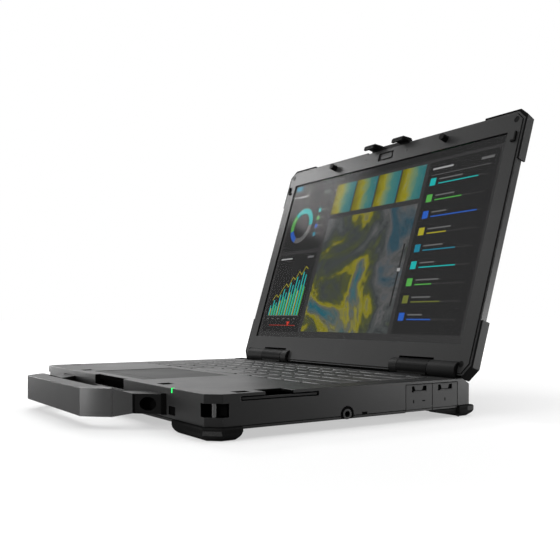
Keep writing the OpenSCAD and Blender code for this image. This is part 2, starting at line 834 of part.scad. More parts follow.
// Memory module and its socket on the board
module memory_module() {
    color("#24553b") in_base()
        block(memory[0], memory[1], [board_z[1], board_z[1] + memory[2]]);
}

// Wireless card on the board
module wireless_card() {
    color("#5a5f66") in_base()
        block(wireless[0], wireless[1], [board_z[1], board_z[1] + wireless[2]]);
}

// Two speakers on the bottom cover
module speakers() {
    color("#1a1a1c") in_base() both_sides()
        block(speaker[0], speaker[1], [split_z, split_z + speaker[2]]);
}

// Card reader under the palm rest, behind the card slot
module card_reader() {
    color("#a9abae") in_base() difference() {
        block([half_w - reader_in, half_w - finger_in], card_y + [-3, 3],
            [card_z[0] - reader_t, deck_under]);
        block([half_w - reader_in + 3, half_w - finger_in + eps], card_y, card_z);
    }
}

// Headset jack in the right wall
module audio_jack() {
    color("#111213") in_base() difference() {
        intersection() {
            rod_x([half_w - jack_len, half_w - 0.2], jack_at, jack_r - 0.15);
            block([0, half_w], [-half_d, half_d], [foot_h, deck_z]);
        }
        rod_x([half_w - jack_len + 2, half_w], jack_at, jack_bore / 2);
    }
}

// Block of sockets behind the two port doors
module port_block() {
    x = [half_w - 20, half_w - door_notch - 0.6];
    mid = [doors_y[0] + door_w / 2, doors_y[1] - door_w / 2];
    z = split_z + 8;
    color("#8d9094") in_base() difference() {
        block(x, doors_y + [1, -2.2], [split_z, free_below]);
        for (i = [0, 1])
            block([x[1] - socket_depth, x[1] + eps], [mid[i] - sockets[i][0], mid[i] + sockets[i][0]],
                [z - sockets[i][1], z + sockets[i][1]]);
    }
}

// Power socket in the rear rail
module power_jack() {
    mid = [(power_jack_x[0] + power_jack_x[1]) / 2, (power_jack_z[0] + power_jack_z[1]) / 2];
    color("#1b1b1d") in_base() difference() {
        block(power_jack_x, [half_d - 17, half_d - 0.4], power_jack_z);
        rod_y([half_d - 12, half_d], mid, power_jack_r);
    }
}

// Light pipe of the status light in the front edge
module status_leds() {
    color("#3fd04a") in_base()
        block([led_x - led_w / 2, led_x + led_w / 2], [-half_d, -half_d + wall],
            [deck_z - led_h, deck_z]);
}

// Pins on which the doors turn
module door_pins() {
    color("#8f9194") in_base() door_rods(door_pin_r);
}

// Door in the right wall: a plate with a grip at its top edge and a seal inside
module side_door(y) {
    mid = (y[0] + y[1]) / 2;
    seal = y + [door_seal_edge, -door_seal_edge];
    difference() {
        union() {
            block([half_w - door_t, half_w], y, door_z);
            block([half_w - door_t - door_seal_t, half_w - door_t + eps], seal,
                [split_z + 4, door_z[1] - door_seal_edge]);
        }
        block([half_w - door_grip[2], half_w + eps],
            [mid - door_grip[0] / 2, mid + door_grip[0] / 2],
            [door_z[1] - door_grip[1], door_z[1] - 1]);
        rod_y(y + [-eps, eps], [half_w - door_axis[0], door_axis[1]], door_pin_r + run);
    }
}

module port_door_front() {
    color("#3f4043") in_base() side_door([doors_y[0] + slack, doors_y[0] + slack + door_w - 0.2]);
}

module port_door_rear() {
    color("#3f4043") in_base() side_door([doors_y[1] - slack - door_w + 0.2, doors_y[1] - slack]);
}

module drive_door() {
    color("#3f4043") in_base() left_side() side_door(drive_y + [slack, -slack]);
}

// Notches in the lid for the hinge brackets
module hinge_notches(n) {
    both_sides() block(notch_x, [lid_bottom - 3, notch_s], n);
}

// Lid shell: back skin, rim, posts and the walls of its notches
module lid_shell() {
    rim_n = front_n - rim_drop;
    wall_x = [notch_x[0] - skin, notch_x[1] + skin];
    color("#36373a") in_lid() difference() {
        union() {
            difference() {
                upright([back_n, rim_n]) lid_plan();
                upright([bezel_back, rim_n + eps]) lid_plan(skin);
                upright([back_n + skin, bezel_back + eps]) lid_plan(skin + 1.8);
                back_edges();
            }
            both_sides() block(wall_x, [lid_bottom + skin, notch_s + skin],
                [back_n + skin - eps, bezel_back]);
            block([-latch_half - skin, latch_half + skin], [lid_top - latch_room - skin, lid_top],
                [back_n + skin - eps, bezel_back]);
            both_sides() for (at = [lid_screw_top, lid_screw_bottom])
                translate([at[0], at[1], back_n + skin - eps])
                    cylinder(h=bezel_back - back_n - skin + eps, r=lid_post_r);
        }
        hinge_notches([back_n - eps, front_n]);
        block([-latch_half, latch_half], [lid_top - latch_room, lid_top + eps],
            [back_n + skin, front_n]);
        rod_x([-latch_half - skin - eps, latch_half + skin + eps], [latch_s, latch_n], latch_pin_r);
        both_sides() rod_x([shaft_x[0] - 0.5, shaft_x[1] + 0.5], [0, 0], shaft_r + 0.1);
        both_sides() for (at = [lid_screw_top, lid_screw_bottom])
            translate([at[0], at[1], back_n + skin + 1]) cylinder(h=lid_t, r=screw_r);
    }
}

// Chamfers round the back of the lid
module back_edges() {
    side = back_chamfer * sqrt(2);
    both_sides() translate([lid_half, lid_top / 2, back_n]) rotate([0, 45, 0])
        cube([side, lid_top * 2, side], center=true);
    for (s = [lid_top, lid_bottom])
        translate([0, s, back_n]) rotate([45, 0, 0])
            cube([lid_half * 2 + 2, side, side], center=true);
}

// Bezel: a frame round the glass, with the camera recess in its top
module screen_bezel() {
    glass_s = screen_s - glass_edge - 0.3;
    glass_w = screen_w / 2 + glass_edge + 0.3;
    color("#3e3f42") in_lid() difference() {
        upright([bezel_back, front_n]) lid_plan(bezel_inset);
        block([-screen_w / 2 - window_edge, screen_w / 2 + window_edge],
            [screen_s - window_edge, screen_s + screen_h + window_edge],
            [bezel_back - eps, front_n + eps]);
        block([-glass_w, glass_w], [glass_s, screen_s + screen_h + glass_edge + 0.3],
            [bezel_back - eps, front_n - bezel_lip]);
        hinge_notches([bezel_back - eps, front_n + eps]);
        both_sides() rod_x([shaft_x[0] - 0.5, shaft_x[1] + 0.5], [0, 0], shaft_r + 0.1);
        block([-cam_half, cam_half], cam_s, [front_n - cam_depth, front_n + eps]);
        translate([cam_lens_x, cam_mid, bezel_back - eps])
            cylinder(h=bezel_t, r=cam_lens_r + 0.1);
        shutter_slot();
        both_sides() translate([mic_x, lid_top - 8.9, bezel_back - eps])
            cylinder(h=bezel_t + 2 * eps, r=mic_r);
        both_sides() for (at = [lid_screw_top, lid_screw_bottom])
            translate([at[0], at[1], 0]) {
                translate([0, 0, bezel_back - eps]) cylinder(h=lid_t, r=screw_r);
                translate([0, 0, front_n - lid_screw_h]) cylinder(h=lid_t, r=lid_screw_r);
            }
    }
}

// Slot in the floor of the camera recess for the shutter's tongue
module shutter_slot() {
    x = shutter_mid + [-tongue[0] / 2 - shutter_travel - slack, tongue[0] / 2 + slack];
    block(x, [cam_mid - tongue[1] / 2 - slack, cam_mid + tongue[1] / 2 + slack],
        [bezel_back - eps, front_n]);
}

// Shutter that slides over the camera
module camera_shutter() {
    color("#4a4b4e") in_lid() {
        block(shutter_x, [cam_mid - shutter_d / 2, cam_mid + shutter_d / 2],
            [front_n - cam_depth, front_n - 0.2]);
        block(shutter_mid + [-tongue[0] / 2, tongue[0] / 2],
            [cam_mid - tongue[1] / 2, cam_mid + tongue[1] / 2],
            [bezel_back + 0.05, front_n - cam_depth + eps]);
    }
}

// Camera board behind the bezel, with its lens
module camera_module() {
    color("#173d2b") in_lid() {
        block([-14, 14], [cam_s[0] + 0.3, lid_top - latch_room - skin - 0.1],
            [bezel_back - 2.2, bezel_back]);
        translate([cam_lens_x, cam_mid, bezel_back - eps])
            cylinder(h=bezel_t - cam_depth, r=cam_lens_r);
    }
}

// Cover glass in the bezel's rebate
module display_glass() {
    color("#0f1114") in_lid()
        block([-screen_w / 2 - glass_edge, screen_w / 2 + glass_edge],
            [screen_s - glass_edge, screen_s + screen_h + glass_edge],
            [front_n - bezel_lip - glass_t, front_n - bezel_lip]);
}

// Display panel behind the glass
module lcd_panel() {
    high = front_n - bezel_lip - glass_t;
    color("#4c6a70") in_lid()
        block([-screen_w / 2 - glass_edge, screen_w / 2 + glass_edge],
            [screen_s - glass_edge, screen_s + screen_h + glass_edge], [high - panel_t, high]);
}

// Rubber band round the lid's edge, cut to one corner by its children
module bumper() {
    color("#1a1a1b") in_lid() intersection() {
        upright([back_n - bumper_wrap, front_n - rim_drop - 0.2]) difference() {
            lid_plan(-bumper_out);
            lid_plan();
        }
        children();
    }
}

module bumper_top() {
    bumper() block([bumper_top_x, half_w + 9], [bumper_top_s, lid_top + 9],
        [back_n - 9, front_n + 9]);
}

module bumper_bottom() {
    bumper() block([lid_half - lid_cut_bottom[0] - 0.6, half_w + 9], [lid_bottom - 9, bumper_bottom_s],
        [back_n - 9, front_n + 9]);
}

// Covers on both sides of a hinge bracket: caps on the bezel and discs in the notch
module hinge_cover() {
    color("#303134") in_lid() difference() {
        union() {
            intersection() {
                union() {
                    rod_x([cover_small, notch_x[0] + eps], [0, 0], barrel_r);
                    rod_x([notch_x[1] - eps, cover_large], [0, 0], barrel_r);
                }
                block([0, half_w], [-2 * barrel_r, 2 * barrel_r], [front_n, 2 * barrel_r]);
            }
            intersection() {
                union() {
                    rod_x([notch_x[0], knuckle[0] - slack], [0, 0], barrel_r);
                    rod_x([knuckle[1] + slack, notch_x[1]], [0, 0], barrel_r);
                }
                block([0, half_w], [-2 * barrel_r, 2 * barrel_r], [back_n, 2 * barrel_r]);
            }
        }
        rod_x([cover_small + 2, cover_large - 2], [0, 0], shaft_r);
    }
}

// Hinge shaft with the leaf that fastens it to the lid shell
module hinge_shaft() {
    leaf_n = back_n + skin;
    color("#a4a6a9") in_lid() {
        rod_x(shaft_x, [0, 0], shaft_r);
        block([notch_x[1] + skin + 0.3, shaft_x[1]], [leaf_s[0], shaft_r - 0.2],
            [leaf_n + leaf_t - eps, 0]);
        block([notch_x[1] + skin + 0.3, shaft_x[1] + 8], leaf_s, [leaf_n, leaf_n + leaf_t]);
    }
}

// Pegs and corner catches on the bezel, which enter pockets in the palm rest
module lid_locators() {
    color("#161617") in_lid() both_sides() {
        translate([peg_x, peg_s, front_n]) cylinder(h=peg_h, r=peg_r);
        block([catch_x[1] - catch_t, catch_x[1]], catch_s, [front_n, front_n + catch_h]);
        block(catch_x, [catch_s[0], catch_s[0] + catch_t], [front_n, front_n + catch_h]);
    }
}

// Antenna boards on the back skin of the lid
module antennas() {
    color("#a8894e") in_lid() both_sides()
        block(antenna_x, antenna_s, [back_n + skin, back_n + skin + 1]);
}

// Screws in the corners of the bezel
module lid_screws() {
    color("#6d6f73") in_lid() both_sides() for (at = [lid_screw_top, lid_screw_bottom])
        translate([at[0], at[1], 0]) {
            translate([0, 0, front_n - lid_screw_h])
                cylinder(h=lid_screw_h - 0.15, r=lid_screw_r - 0.1);
            translate([0, 0, back_n + skin + 1.5])
                cylinder(h=front_n - lid_screw_h - back_n - skin - 1.4, r=screw_r);
        }
}

// Pin on which the latch turns
module latch_pin() {
    color("#b5b7ba") in_lid()
        rod_x([-latch_half - skin, latch_half + skin], [latch_s, latch_n], latch_pin_r);
}

// Latch: a bar with two hooks that reach over the front edge of the base
module latch_hooks() {
    rear = latch_n - 1.2;
    fore = latch_n + 1.2;
    color("#222325") in_lid() difference() {
        union() {
            rod_x([-hook_x[1], hook_x[1]], [latch_s, latch_n], latch_bar_r);
            block([-hook_x[1], hook_x[1]], [latch_s, hook_top - 1], [rear, fore]);
            both_sides() prism_x(hook_x, [
                [latch_s, rear], [latch_s, fore], [lid_top + 1.6, fore],
                [lid_top + 1.2, hook_reach - 2.6], [lid_top - 1.5, hook_reach - 2.2],
                [lid_top - 1.5, hook_reach], [lid_top + 1.6, hook_reach],
                [lid_top + 3.5, hook_reach - 1.4], [hook_top, -0.3],
                [lid_top + 2, rear]
            ]);
        }
        rod_x([-hook_x[1] - eps, hook_x[1] + eps], [latch_s, latch_n], latch_pin_r + run);
    }
}

base_frame();
bottom_cover();
keyboard_tray();
touchpad();
carry_handle();
handle_bolts();
left_side() foot_front();  // foot_front_left
foot_front();  // foot_front_right
left_side() foot_rear();  // foot_rear_left
foot_rear();  // foot_rear_right
strap_posts();
left_side() hinge_bracket();  // hinge_bracket_left
hinge_bracket();  // hinge_bracket_right
battery_pack();
main_board();
fan_housing();
heat_sink();
ssd_module();
memory_module();
wireless_card();
speakers();
card_reader();
audio_jack();
port_block();
power_jack();
status_leds();
case_screws();
door_pins();
lid_shell();
screen_bezel();
display_glass();
lcd_panel();
left_side() bumper_top();  // bumper_top_left
bumper_top();  // bumper_top_right
left_side() bumper_bottom();  // bumper_bottom_left
bumper_bottom();  // bumper_bottom_right
left_side() hinge_cover();  // hinge_cover_left
hinge_cover();  // hinge_cover_right
left_side() hinge_shaft();  // hinge_shaft_left
hinge_shaft();  // hinge_shaft_right
camera_module();
lid_locators();
antennas();
lid_screws();
latch_pin();
latch_hooks();
camera_shutter();
touch_button(0);  // touch_button_left
touch_button(1);  // touch_button_right
power_button();
fan_rotor();
port_door_front();
port_door_rear();
drive_door();
key_row(0);  // key_row_1
key_row(1);  // key_row_2
key_row(2);  // key_row_3
key_row(3);  // key_row_4
key_row(4);  // key_row_5
key_row(5);  // key_row_6
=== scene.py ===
"""Rugged notebook computer with a carry handle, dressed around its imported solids.

Every piece is made from named sizes, has a procedural material and rides on the
body that carries it. Lengths are in metres unless a name says otherwise.
"""

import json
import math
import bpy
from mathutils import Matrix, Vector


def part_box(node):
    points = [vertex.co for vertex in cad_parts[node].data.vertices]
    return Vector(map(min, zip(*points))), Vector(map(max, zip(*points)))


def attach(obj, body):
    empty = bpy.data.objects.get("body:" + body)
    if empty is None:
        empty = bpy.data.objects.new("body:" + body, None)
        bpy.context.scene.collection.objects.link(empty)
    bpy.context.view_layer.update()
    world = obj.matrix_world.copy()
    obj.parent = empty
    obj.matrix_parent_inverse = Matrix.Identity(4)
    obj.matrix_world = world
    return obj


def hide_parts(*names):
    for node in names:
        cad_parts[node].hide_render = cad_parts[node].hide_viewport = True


bl_info = {
    "name": "Rugged Notebook Computer",
    "version": (1, 0, 0),
    "blender": (4, 5, 0),
    "location": "View3D > Sidebar > Notebook",
    "description": "Builds the visible pieces of a rugged notebook computer",
    "category": "Object",
}

import bmesh
import bpy
from mathutils import Matrix, Vector

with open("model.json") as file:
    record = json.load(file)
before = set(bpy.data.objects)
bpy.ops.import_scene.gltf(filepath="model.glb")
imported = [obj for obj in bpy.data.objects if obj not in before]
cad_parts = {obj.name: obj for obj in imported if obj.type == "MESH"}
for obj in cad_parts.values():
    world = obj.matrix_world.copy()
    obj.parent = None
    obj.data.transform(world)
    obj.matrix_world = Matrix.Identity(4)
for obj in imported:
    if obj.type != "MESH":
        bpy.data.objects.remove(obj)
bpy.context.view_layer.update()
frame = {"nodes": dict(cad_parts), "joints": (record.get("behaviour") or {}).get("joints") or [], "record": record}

MM = 0.001
JOINTS = {joint["name"]: joint for joint in frame["joints"]}
HINGE = Vector(JOINTS["lid_hinge"]["pos_m"])
LEAN = math.radians(-JOINTS["lid_hinge"]["range_deg"][0])
UP_LID = Vector((0, math.cos(LEAN), math.sin(LEAN)))
OUT_LID = Vector((0, -math.sin(LEAN), math.cos(LEAN)))

# Sizes read from the solids
CASE_LOW, CASE_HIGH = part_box("base_frame")
HALF_W = CASE_HIGH.x
FRONT = CASE_LOW.y
BACK = CASE_HIGH.y
DECK = CASE_HIGH.z
SEAM = CASE_LOW.z
MID = (FRONT + BACK) / 2


# ---------------------------------------------------------------- places

def at_base(x, y, z):
    """Point from millimetres in the case's own frame: y from its middle, z from the table."""
    return Vector((x * MM, y * MM + MID, z * MM))


def at_lid(x, s, n):
    """Point from millimetres in the lid's frame: s up the lid, n out of its front."""
    return HINGE + Vector((x * MM, 0, 0)) + UP_LID * (s * MM) + OUT_LID * (n * MM)


# ---------------------------------------------------------------- materials

class Value:
    """A number inside a node tree; arithmetic on it adds Math nodes."""

    def __init__(self, net, socket):
        self.net = net
        self.socket = socket

    def __add__(self, other):
        return self.net.math("ADD", self, other)

    def __radd__(self, other):
        return self.net.math("ADD", other, self)

    def __sub__(self, other):
        return self.net.math("SUBTRACT", self, other)

    def __rsub__(self, other):
        return self.net.math("SUBTRACT", other, self)

    def __mul__(self, other):
        return self.net.math("MULTIPLY", self, other)

    def __rmul__(self, other):
        return self.net.math("MULTIPLY", other, self)

    def __truediv__(self, other):
        return self.net.math("DIVIDE", self, other)

    def __rtruediv__(self, other):
        return self.net.math("DIVIDE", other, self)

    def __gt__(self, other):
        return self.net.math("GREATER_THAN", self, other)

    def __lt__(self, other):
        return self.net.math("LESS_THAN", self, other)

    def ramp(self, low, high):
        """0 below low, 1 above high, smooth between."""
        return self.net.add(
            "ShaderNodeMapRange", {"interpolation_type": "SMOOTHSTEP"},
            {"Value": self, "From Min": low, "From Max": high})


class Net:
    """A node tree to which nodes are added one call at a time."""

    def __init__(self, tree):
        self.tree = tree

    def feed(self, socket, value):
        """Links a value to a socket, or sets the socket to a plain number or colour."""
        if isinstance(value, Value):
            self.tree.links.new(value.socket, socket)
        elif isinstance(value, (tuple, list)) and len(value) == 3 and socket.type == "RGBA":
            socket.default_value = (*value, 1)
        else:
            socket.default_value = value

    def add(self, kind, settings=None, inputs=None, output=0):
        """Adds a node: its settings, the values or links of its sockets, and one output."""
        node = self.tree.nodes.new(kind)
        for key, value in (settings or {}).items():
            if key == "stops":
                ramp = node.color_ramp
                while len(ramp.elements) < len(value):
                    ramp.elements.new(0.5)
                for element, (place, colour) in zip(ramp.elements, value):
                    element.position = place
                    element.color = (*colour, 1)
            else:
                setattr(node, key, value)
        for key, value in (inputs or {}).items():
            self.feed(node.inputs[key], value)
        return Value(self, node.outputs[output])

    def math(self, operation, *values):
        return self.add("ShaderNodeMath", {"operation": operation}, dict(enumerate(values)))


class Finish(Net):
    """One material, built from nodes round a Principled shader."""

    def __init__(self, name, Specular_IOR_Level=0.15, **fixed):
        self.material = bpy.data.materials.new(name)
        self.material.use_nodes = True
        super().__init__(self.material.node_tree)
        self.tree.nodes.clear()
        self.skin = self.tree.nodes.new("ShaderNodeBsdfPrincipled")
        out = self.tree.nodes.new("ShaderNodeOutputMaterial")
        self.tree.links.new(self.skin.outputs[0], out.inputs[0])
        self.set(Specular_IOR_Level=Specular_IOR_Level, **fixed)

    def set(self, **values):
        """Feeds sockets of the Principled shader, with _ for a space in their names."""
        for key, value in values.items():
            self.feed(self.skin.inputs[key.replace("_", " ")], value)
        return self

    def place(self, scale=(1, 1, 1), turn=(0, 0, 0)):
        """Object coordinates, stretched or turned."""
        where = self.add("ShaderNodeTexCoord", output="Object")
        return self.add("ShaderNodeMapping", None,
                        {"Vector": where, "Scale": scale, "Rotation": turn})

    def noise(self, scale, detail=2.0, where=None, rough=0.5, twist=0.0):
        return self.add("ShaderNodeTexNoise", None, {
            "Vector": where or self.place(), "Scale": scale, "Detail": detail,
            "Roughness": rough, "Distortion": twist})

    def cells(self, scale, settings=None):
        return self.add("ShaderNodeTexVoronoi", settings,
                        {"Vector": self.place(), "Scale": scale})

    def blend(self, one, two, amount):
        """One colour turning into another."""
        return self.add("ShaderNodeMix", {"data_type": "RGBA"},
                        {0: amount, 6: one, 7: two}, 2)

    def bump(self, height, distance):
        self.set(Normal=self.add("ShaderNodeBump", None,
                                 {"Height": height, "Distance": distance, "Strength": 1.0}))
        return self

    def edges(self):
        """1 on the rounded edges that soften() marks."""
        return self.add("ShaderNodeAttribute", {"attribute_name": "edge"}, output="Fac")


def grey(level, warmth=0.0):
    """A near-neutral linear colour."""
    return (level * (1 + warmth), level, level * (1 - warmth))


def shade(colour, factor):
    """A colour made lighter or darker."""
    return tuple(min(1.0, part * factor) for part in colour[:3])


# How often the patterns of the finishes change, per metre
PAINT_MOTTLE, PAINT_RUB, PAINT_MARKS = 22.0, 160.0, 240.0
MOULDED_HAZE = 35.0
METAL_LINES, METAL_SPOTS = 2600.0, 90.0
BOARD_TRACKS, BOARD_PADS, BOARD_HAZE = 160.0, 420.0, 60.0
PIXEL_GRAIN = 5200.0
KEY_GRAIN, KEY_TOUCH = 2400.0, 48.0
GLASS_SMEAR, GLASS_DUST = 26.0, 900.0
FIELD_LAND, FIELD_DETAIL, TILE_SWIRL = 13.0, 240.0, 46.0
# Bands in the whole height of the contour field
FIELD_BANDS = 26.0


def painted(name, colour, rough, grain, depth, wear, mottle, specular):
    """Satin paint: fine texture, uneven gloss, handling marks and lighter worn edges."""
    finish = Finish(name, Specular_IOR_Level=specular)
    fine = finish.noise(1 / grain, 3.0)
    broad = finish.noise(PAINT_MOTTLE, 3.0)
    rub = finish.noise(PAINT_RUB, 4.0, rough=0.65)
    marks = finish.noise(PAINT_MARKS, 5.0, finish.place((1, 0.18, 1), (0, 0, 0.5)), 0.7)
    scuff = marks.ramp(0.66, 0.8) * broad.ramp(0.45, 0.7)
    lighter_edges = finish.edges() * rub.ramp(0.42, 0.62) * wear
    tone = finish.blend(shade(colour, 1 - mottle), shade(colour, 1 + mottle), broad)
    tone = finish.blend(tone, shade(colour, 1.7), scuff * 0.35)
    tone = finish.blend(tone, shade(colour, 3.2), lighter_edges)
    gloss = rough + (broad - 0.5) * 0.14 + (fine - 0.5) * 0.1 - scuff * 0.08 - lighter_edges * 0.08
    finish.set(Base_Color=tone, Roughness=gloss)
    return finish.bump(fine * 0.8 + rub * 0.2, depth)


def moulded(name, colour, rough, grain, depth, wear, dust, specular):
    """Moulded plastic or rubber: spark grain, a little dust and rubbed edges."""
    finish = Finish(name, Specular_IOR_Level=specular)
    pits = finish.cells(1 / grain)
    fine = finish.noise(0.6 / grain, 3.0)
    broad = finish.noise(MOULDED_HAZE, 3.0)
    lighter_edges = finish.edges() * broad.ramp(0.4, 0.7) * wear
    film = broad.ramp(0.5, 0.85) * fine.ramp(0.4, 0.7) * dust
    tone = finish.blend(shade(colour, 0.85), shade(colour, 1.15), fine)
    tone = finish.blend(tone, grey(0.16, 0.02), film)
    tone = finish.blend(tone, shade(colour, 2.4), lighter_edges)
    finish.set(Base_Color=tone, Roughness=rough + (fine - 0.5) * 0.16 + film * 0.2 - lighter_edges * 0.1)
    return finish.bump(pits * 0.6 + fine * 0.4, depth)


def bare_metal(name, colour, rough, stretch=(1, 1, 0.04)):
    """Drawn or turned metal with fine lines and a few dull spots."""
    finish = Finish(name, Metallic=1.0)
    lines = finish.noise(METAL_LINES, 2.0, finish.place(stretch))
    spots = finish.noise(METAL_SPOTS, 4.0)
    tone = finish.blend(shade(colour, 0.72), colour, spots.ramp(0.35, 0.6))
    finish.set(Base_Color=tone,
               Roughness=rough + (lines - 0.5) * 0.2 + spots.ramp(0.6, 0.8) * 0.15)
    return finish.bump(lines, 0.00001)


def circuit(name, colour):
    """Solder mask over copper tracks, with pads."""
    finish = Finish(name)
    tracks = finish.add("ShaderNodeTexBrick", {"offset": 0.5}, {
        "Vector": finish.place(), "Scale": BOARD_TRACKS, "Mortar Size": 0.04}, 1)
    pads = finish.cells(BOARD_PADS, {"distance": "CHEBYCHEV"}) < 0.16
    haze = finish.noise(BOARD_HAZE, 3.0)
    tone = finish.blend(shade(colour, 0.7), shade(colour, 1.3), haze)
    tone = finish.blend(tone, shade(colour, 1.9), tracks)
    tone = finish.blend(tone, (0.55, 0.42, 0.16), pads * 0.8)
    finish.set(Base_Color=tone, Roughness=0.34 + haze * 0.2, Metallic=pads * 0.7)
    return finish.bump(tracks + pads, 0.00004)


def lit(name, colour, strength=1.0):
    """An evenly lit part of the picture, with the panel's faint pixel grain."""
    finish = Finish(name, Roughness=0.5, Specular_IOR_Level=0, Emission_Strength=strength)
    grain = finish.noise(PIXEL_GRAIN, 1.0)
    finish.set(Base_Color=(0, 0, 0),
               Emission_Color=finish.blend(shade(colour, 0.94), shade(colour, 1.05), grain))
    return finish


# ---------------------------------------------------------------- meshes

# Corners nearer than this many mm are one, and faces within so many degrees are flat
MERGE = 0.01
FLAT = 1
# Edges that are rounded: sharper than this angle and longer than this many mm
ROUND_OVER = 38
ROUND_FROM = 0.6
# Angles in degrees over which an edge stays sharp, on a piece and on a repeated part
SHARP_PIECE = 50
SHARP_PART = 40


def soften(bm, width, segments=2):
    """Rounds sharp edges by a width in mm, and marks the new faces for wear."""
    mark = bm.faces.layers.float.get("edge") or bm.faces.layers.float.new("edge")
    limit = math.radians(ROUND_OVER)
    edges = [edge for edge in bm.edges
             if len(edge.link_faces) == 2 and edge.calc_face_angle(0) > limit
             and edge.calc_length() > ROUND_FROM * MM]
    made = bmesh.ops.bevel(bm, geom=edges, offset=width * MM, offset_type="OFFSET",
                           segments=segments, profile=0.5, affect="EDGES",
                           clamp_overlap=False)
    for face in made["faces"]:
        face[mark] = 1.0


def keep_within(bm, low, high):
    """Moves stray corners of a rounded mesh back onto its box."""
    for vert in bm.verts:
        vert.co = [min(max(place, a), b) for place, a, b in zip(vert.co, low, high)]


def solid_copy(node):
    """A merged copy of a node's mesh, with its flat faces made whole."""
    bm = bmesh.new()
    bm.from_mesh(frame["nodes"][node].data)
    bmesh.ops.remove_doubles(bm, verts=bm.verts, dist=MERGE * MM)
    bmesh.ops.dissolve_limit(bm, angle_limit=math.radians(FLAT), verts=bm.verts,
                             edges=bm.edges)
    return bm


def mesh_of(bm, name, sharp=SHARP_PART):
    """A plain mesh, smooth up to an angle, from a bmesh, which is freed."""
    for face in bm.faces:
        face.smooth = True
    mesh = bpy.data.meshes.new(name)
    bm.to_mesh(mesh)
    bm.free()
    mesh.set_sharp_from_angle(angle=math.radians(sharp))
    return mesh


def set_in_scene(name, mesh):
    """An object for a mesh, at the origin and unturned."""
    thing = bpy.data.objects.new(name, mesh)
    bpy.context.scene.collection.objects.link(thing)
    return thing


def shown_mesh(thing):
    """The mesh that an object shows once its modifiers have run."""
    graph = bpy.context.evaluated_depsgraph_get()
    return bpy.data.meshes.new_from_object(thing.evaluated_get(graph), depsgraph=graph)


def plain(thing):
    """Turns what an object's modifiers make into its own plain mesh."""
    mesh = shown_mesh(thing)
    thing.modifiers.clear()
    thing.data = mesh
    mesh.name = thing.name
    return thing


def carry(thing, body, stands_for=()):
    """Lets a finished piece ride on its body, in place of its solids."""
    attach(thing, body)
    if stands_for:
        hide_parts(*stands_for)
    return thing


def piece(name, bm, body, finishes, stands_for=(), weigh=True):
    """A finished piece from a bmesh, smooth where its faces nearly agree."""
    mesh = mesh_of(bm, name, SHARP_PIECE)
    for finish in [finishes] if isinstance(finishes, str) else finishes:
        mesh.materials.append(finished(finish))
    thing = set_in_scene(name, mesh)
    if weigh:
        even = thing.modifiers.new("even", "WEIGHTED_NORMAL")
        even.keep_sharp = True
        plain(thing)
    return carry(thing, body, stands_for)


def dress(node, finish, width, segments=2, tints=(), shape=None):
    """A rounded copy of a node in its finish; tints are finishes for faces that pass a test."""
    bm = solid_copy(node)
    if shape:
        shape(bm)
    if width:
        soften(bm, width, segments)
        keep_within(bm, *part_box(node))
    for number, (_, test) in enumerate(tints, 1):
        for face in bm.faces:
            if test(face.calc_center_median()):
                face.material_index = number
    return piece(node + "_dressed", bm, BODY_OF[node],
                 [finish] + [tint for tint, _ in tints], (node,))


def add_prism(bm, outline, low, high, place, finish=0):
    """A closed prism: an outline in mm drawn with a place function, from low to high."""
    rings = [[bm.verts.new(place(a, b, level)) for a, b in outline] for level in (low, high)]
    count = len(outline)
    faces = [bm.faces.new(rings[0][::-1]), bm.faces.new(rings[1])]
    for i in range(count):
        j = (i + 1) % count
        faces.append(bm.faces.new((rings[0][i], rings[0][j], rings[1][j], rings[1][i])))
    for face in faces:
        face.material_index = finish
    bmesh.ops.recalc_face_normals(bm, faces=faces)
    return faces


def add_layers(bm, place, layers, closed=True):
    """Skin over outlines in mm, each drawn at its own level with a place function."""
    made = [[bm.verts.new(place(a, b, level)) for a, b in outline]
            for outline, level in layers]
    count = len(made[0])
    faces = []
    for low, high in zip(made, made[1:]):
        for i in range(count):
            j = (i + 1) % count
            faces.append(bm.faces.new((low[i], low[j], high[j], high[i])))
    if closed:
        faces += [bm.faces.new(made[0][::-1]), bm.faces.new(made[-1])]
    bmesh.ops.recalc_face_normals(bm, faces=faces)


def lathe(bm, place, mid, profile, count=32):
    """Turned part: radii and heights in mm about a middle on an outline plane."""
    turns = [math.tau * i / count for i in range(count)]
    add_layers(bm, place, [([(mid[0] + radius * math.cos(turn), mid[1] + radius * math.sin(turn))
                             for turn in turns], height) for radius, height in profile])


def round_rect(x, y, radius, steps=4, inset=0.0):
    """Outline of a rounded rectangle over the spans x and y, in mm."""
    radius = max(radius - inset, 0.05)
    low = (x[0] + inset + radius, y[0] + inset + radius)
    high = (x[1] - inset - radius, y[1] - inset - radius)
    corners = ((high[0], high[1], 0), (low[0], high[1], 90), (low[0], low[1], 180),
               (high[0], low[1], 270))
    points = []
    for mid_x, mid_y, start in corners:
        for step in range(steps + 1):
            angle = math.radians(start + 90 * step / steps)
            points.append((mid_x + radius * math.cos(angle), mid_y + radius * math.sin(angle)))
    return points


def octagon(x, y, cut):
    """Outline of a rectangle over the spans x and y with its corners cut off."""
    (x0, x1), (y0, y1) = x, y
    return [(x0 + cut, y0), (x1 - cut, y0), (x1, y0 + cut), (x1, y1 - cut),
            (x1 - cut, y1), (x0 + cut, y1), (x0, y1 - cut), (x0, y0 + cut)]


def low_plate(bm, place, x, y, cut, levels, slope, shrink=0.0):
    """Octagonal plate through three levels, its sides sloping in to the last one."""
    layers = []
    for inset, level in zip((0, 0, slope), levels):
        outline = octagon((x[0] + inset, x[1] - inset), (y[0] + inset, y[1] - inset),
                          cut - inset * shrink)
        layers.append((outline, level))
    add_layers(bm, place, layers)


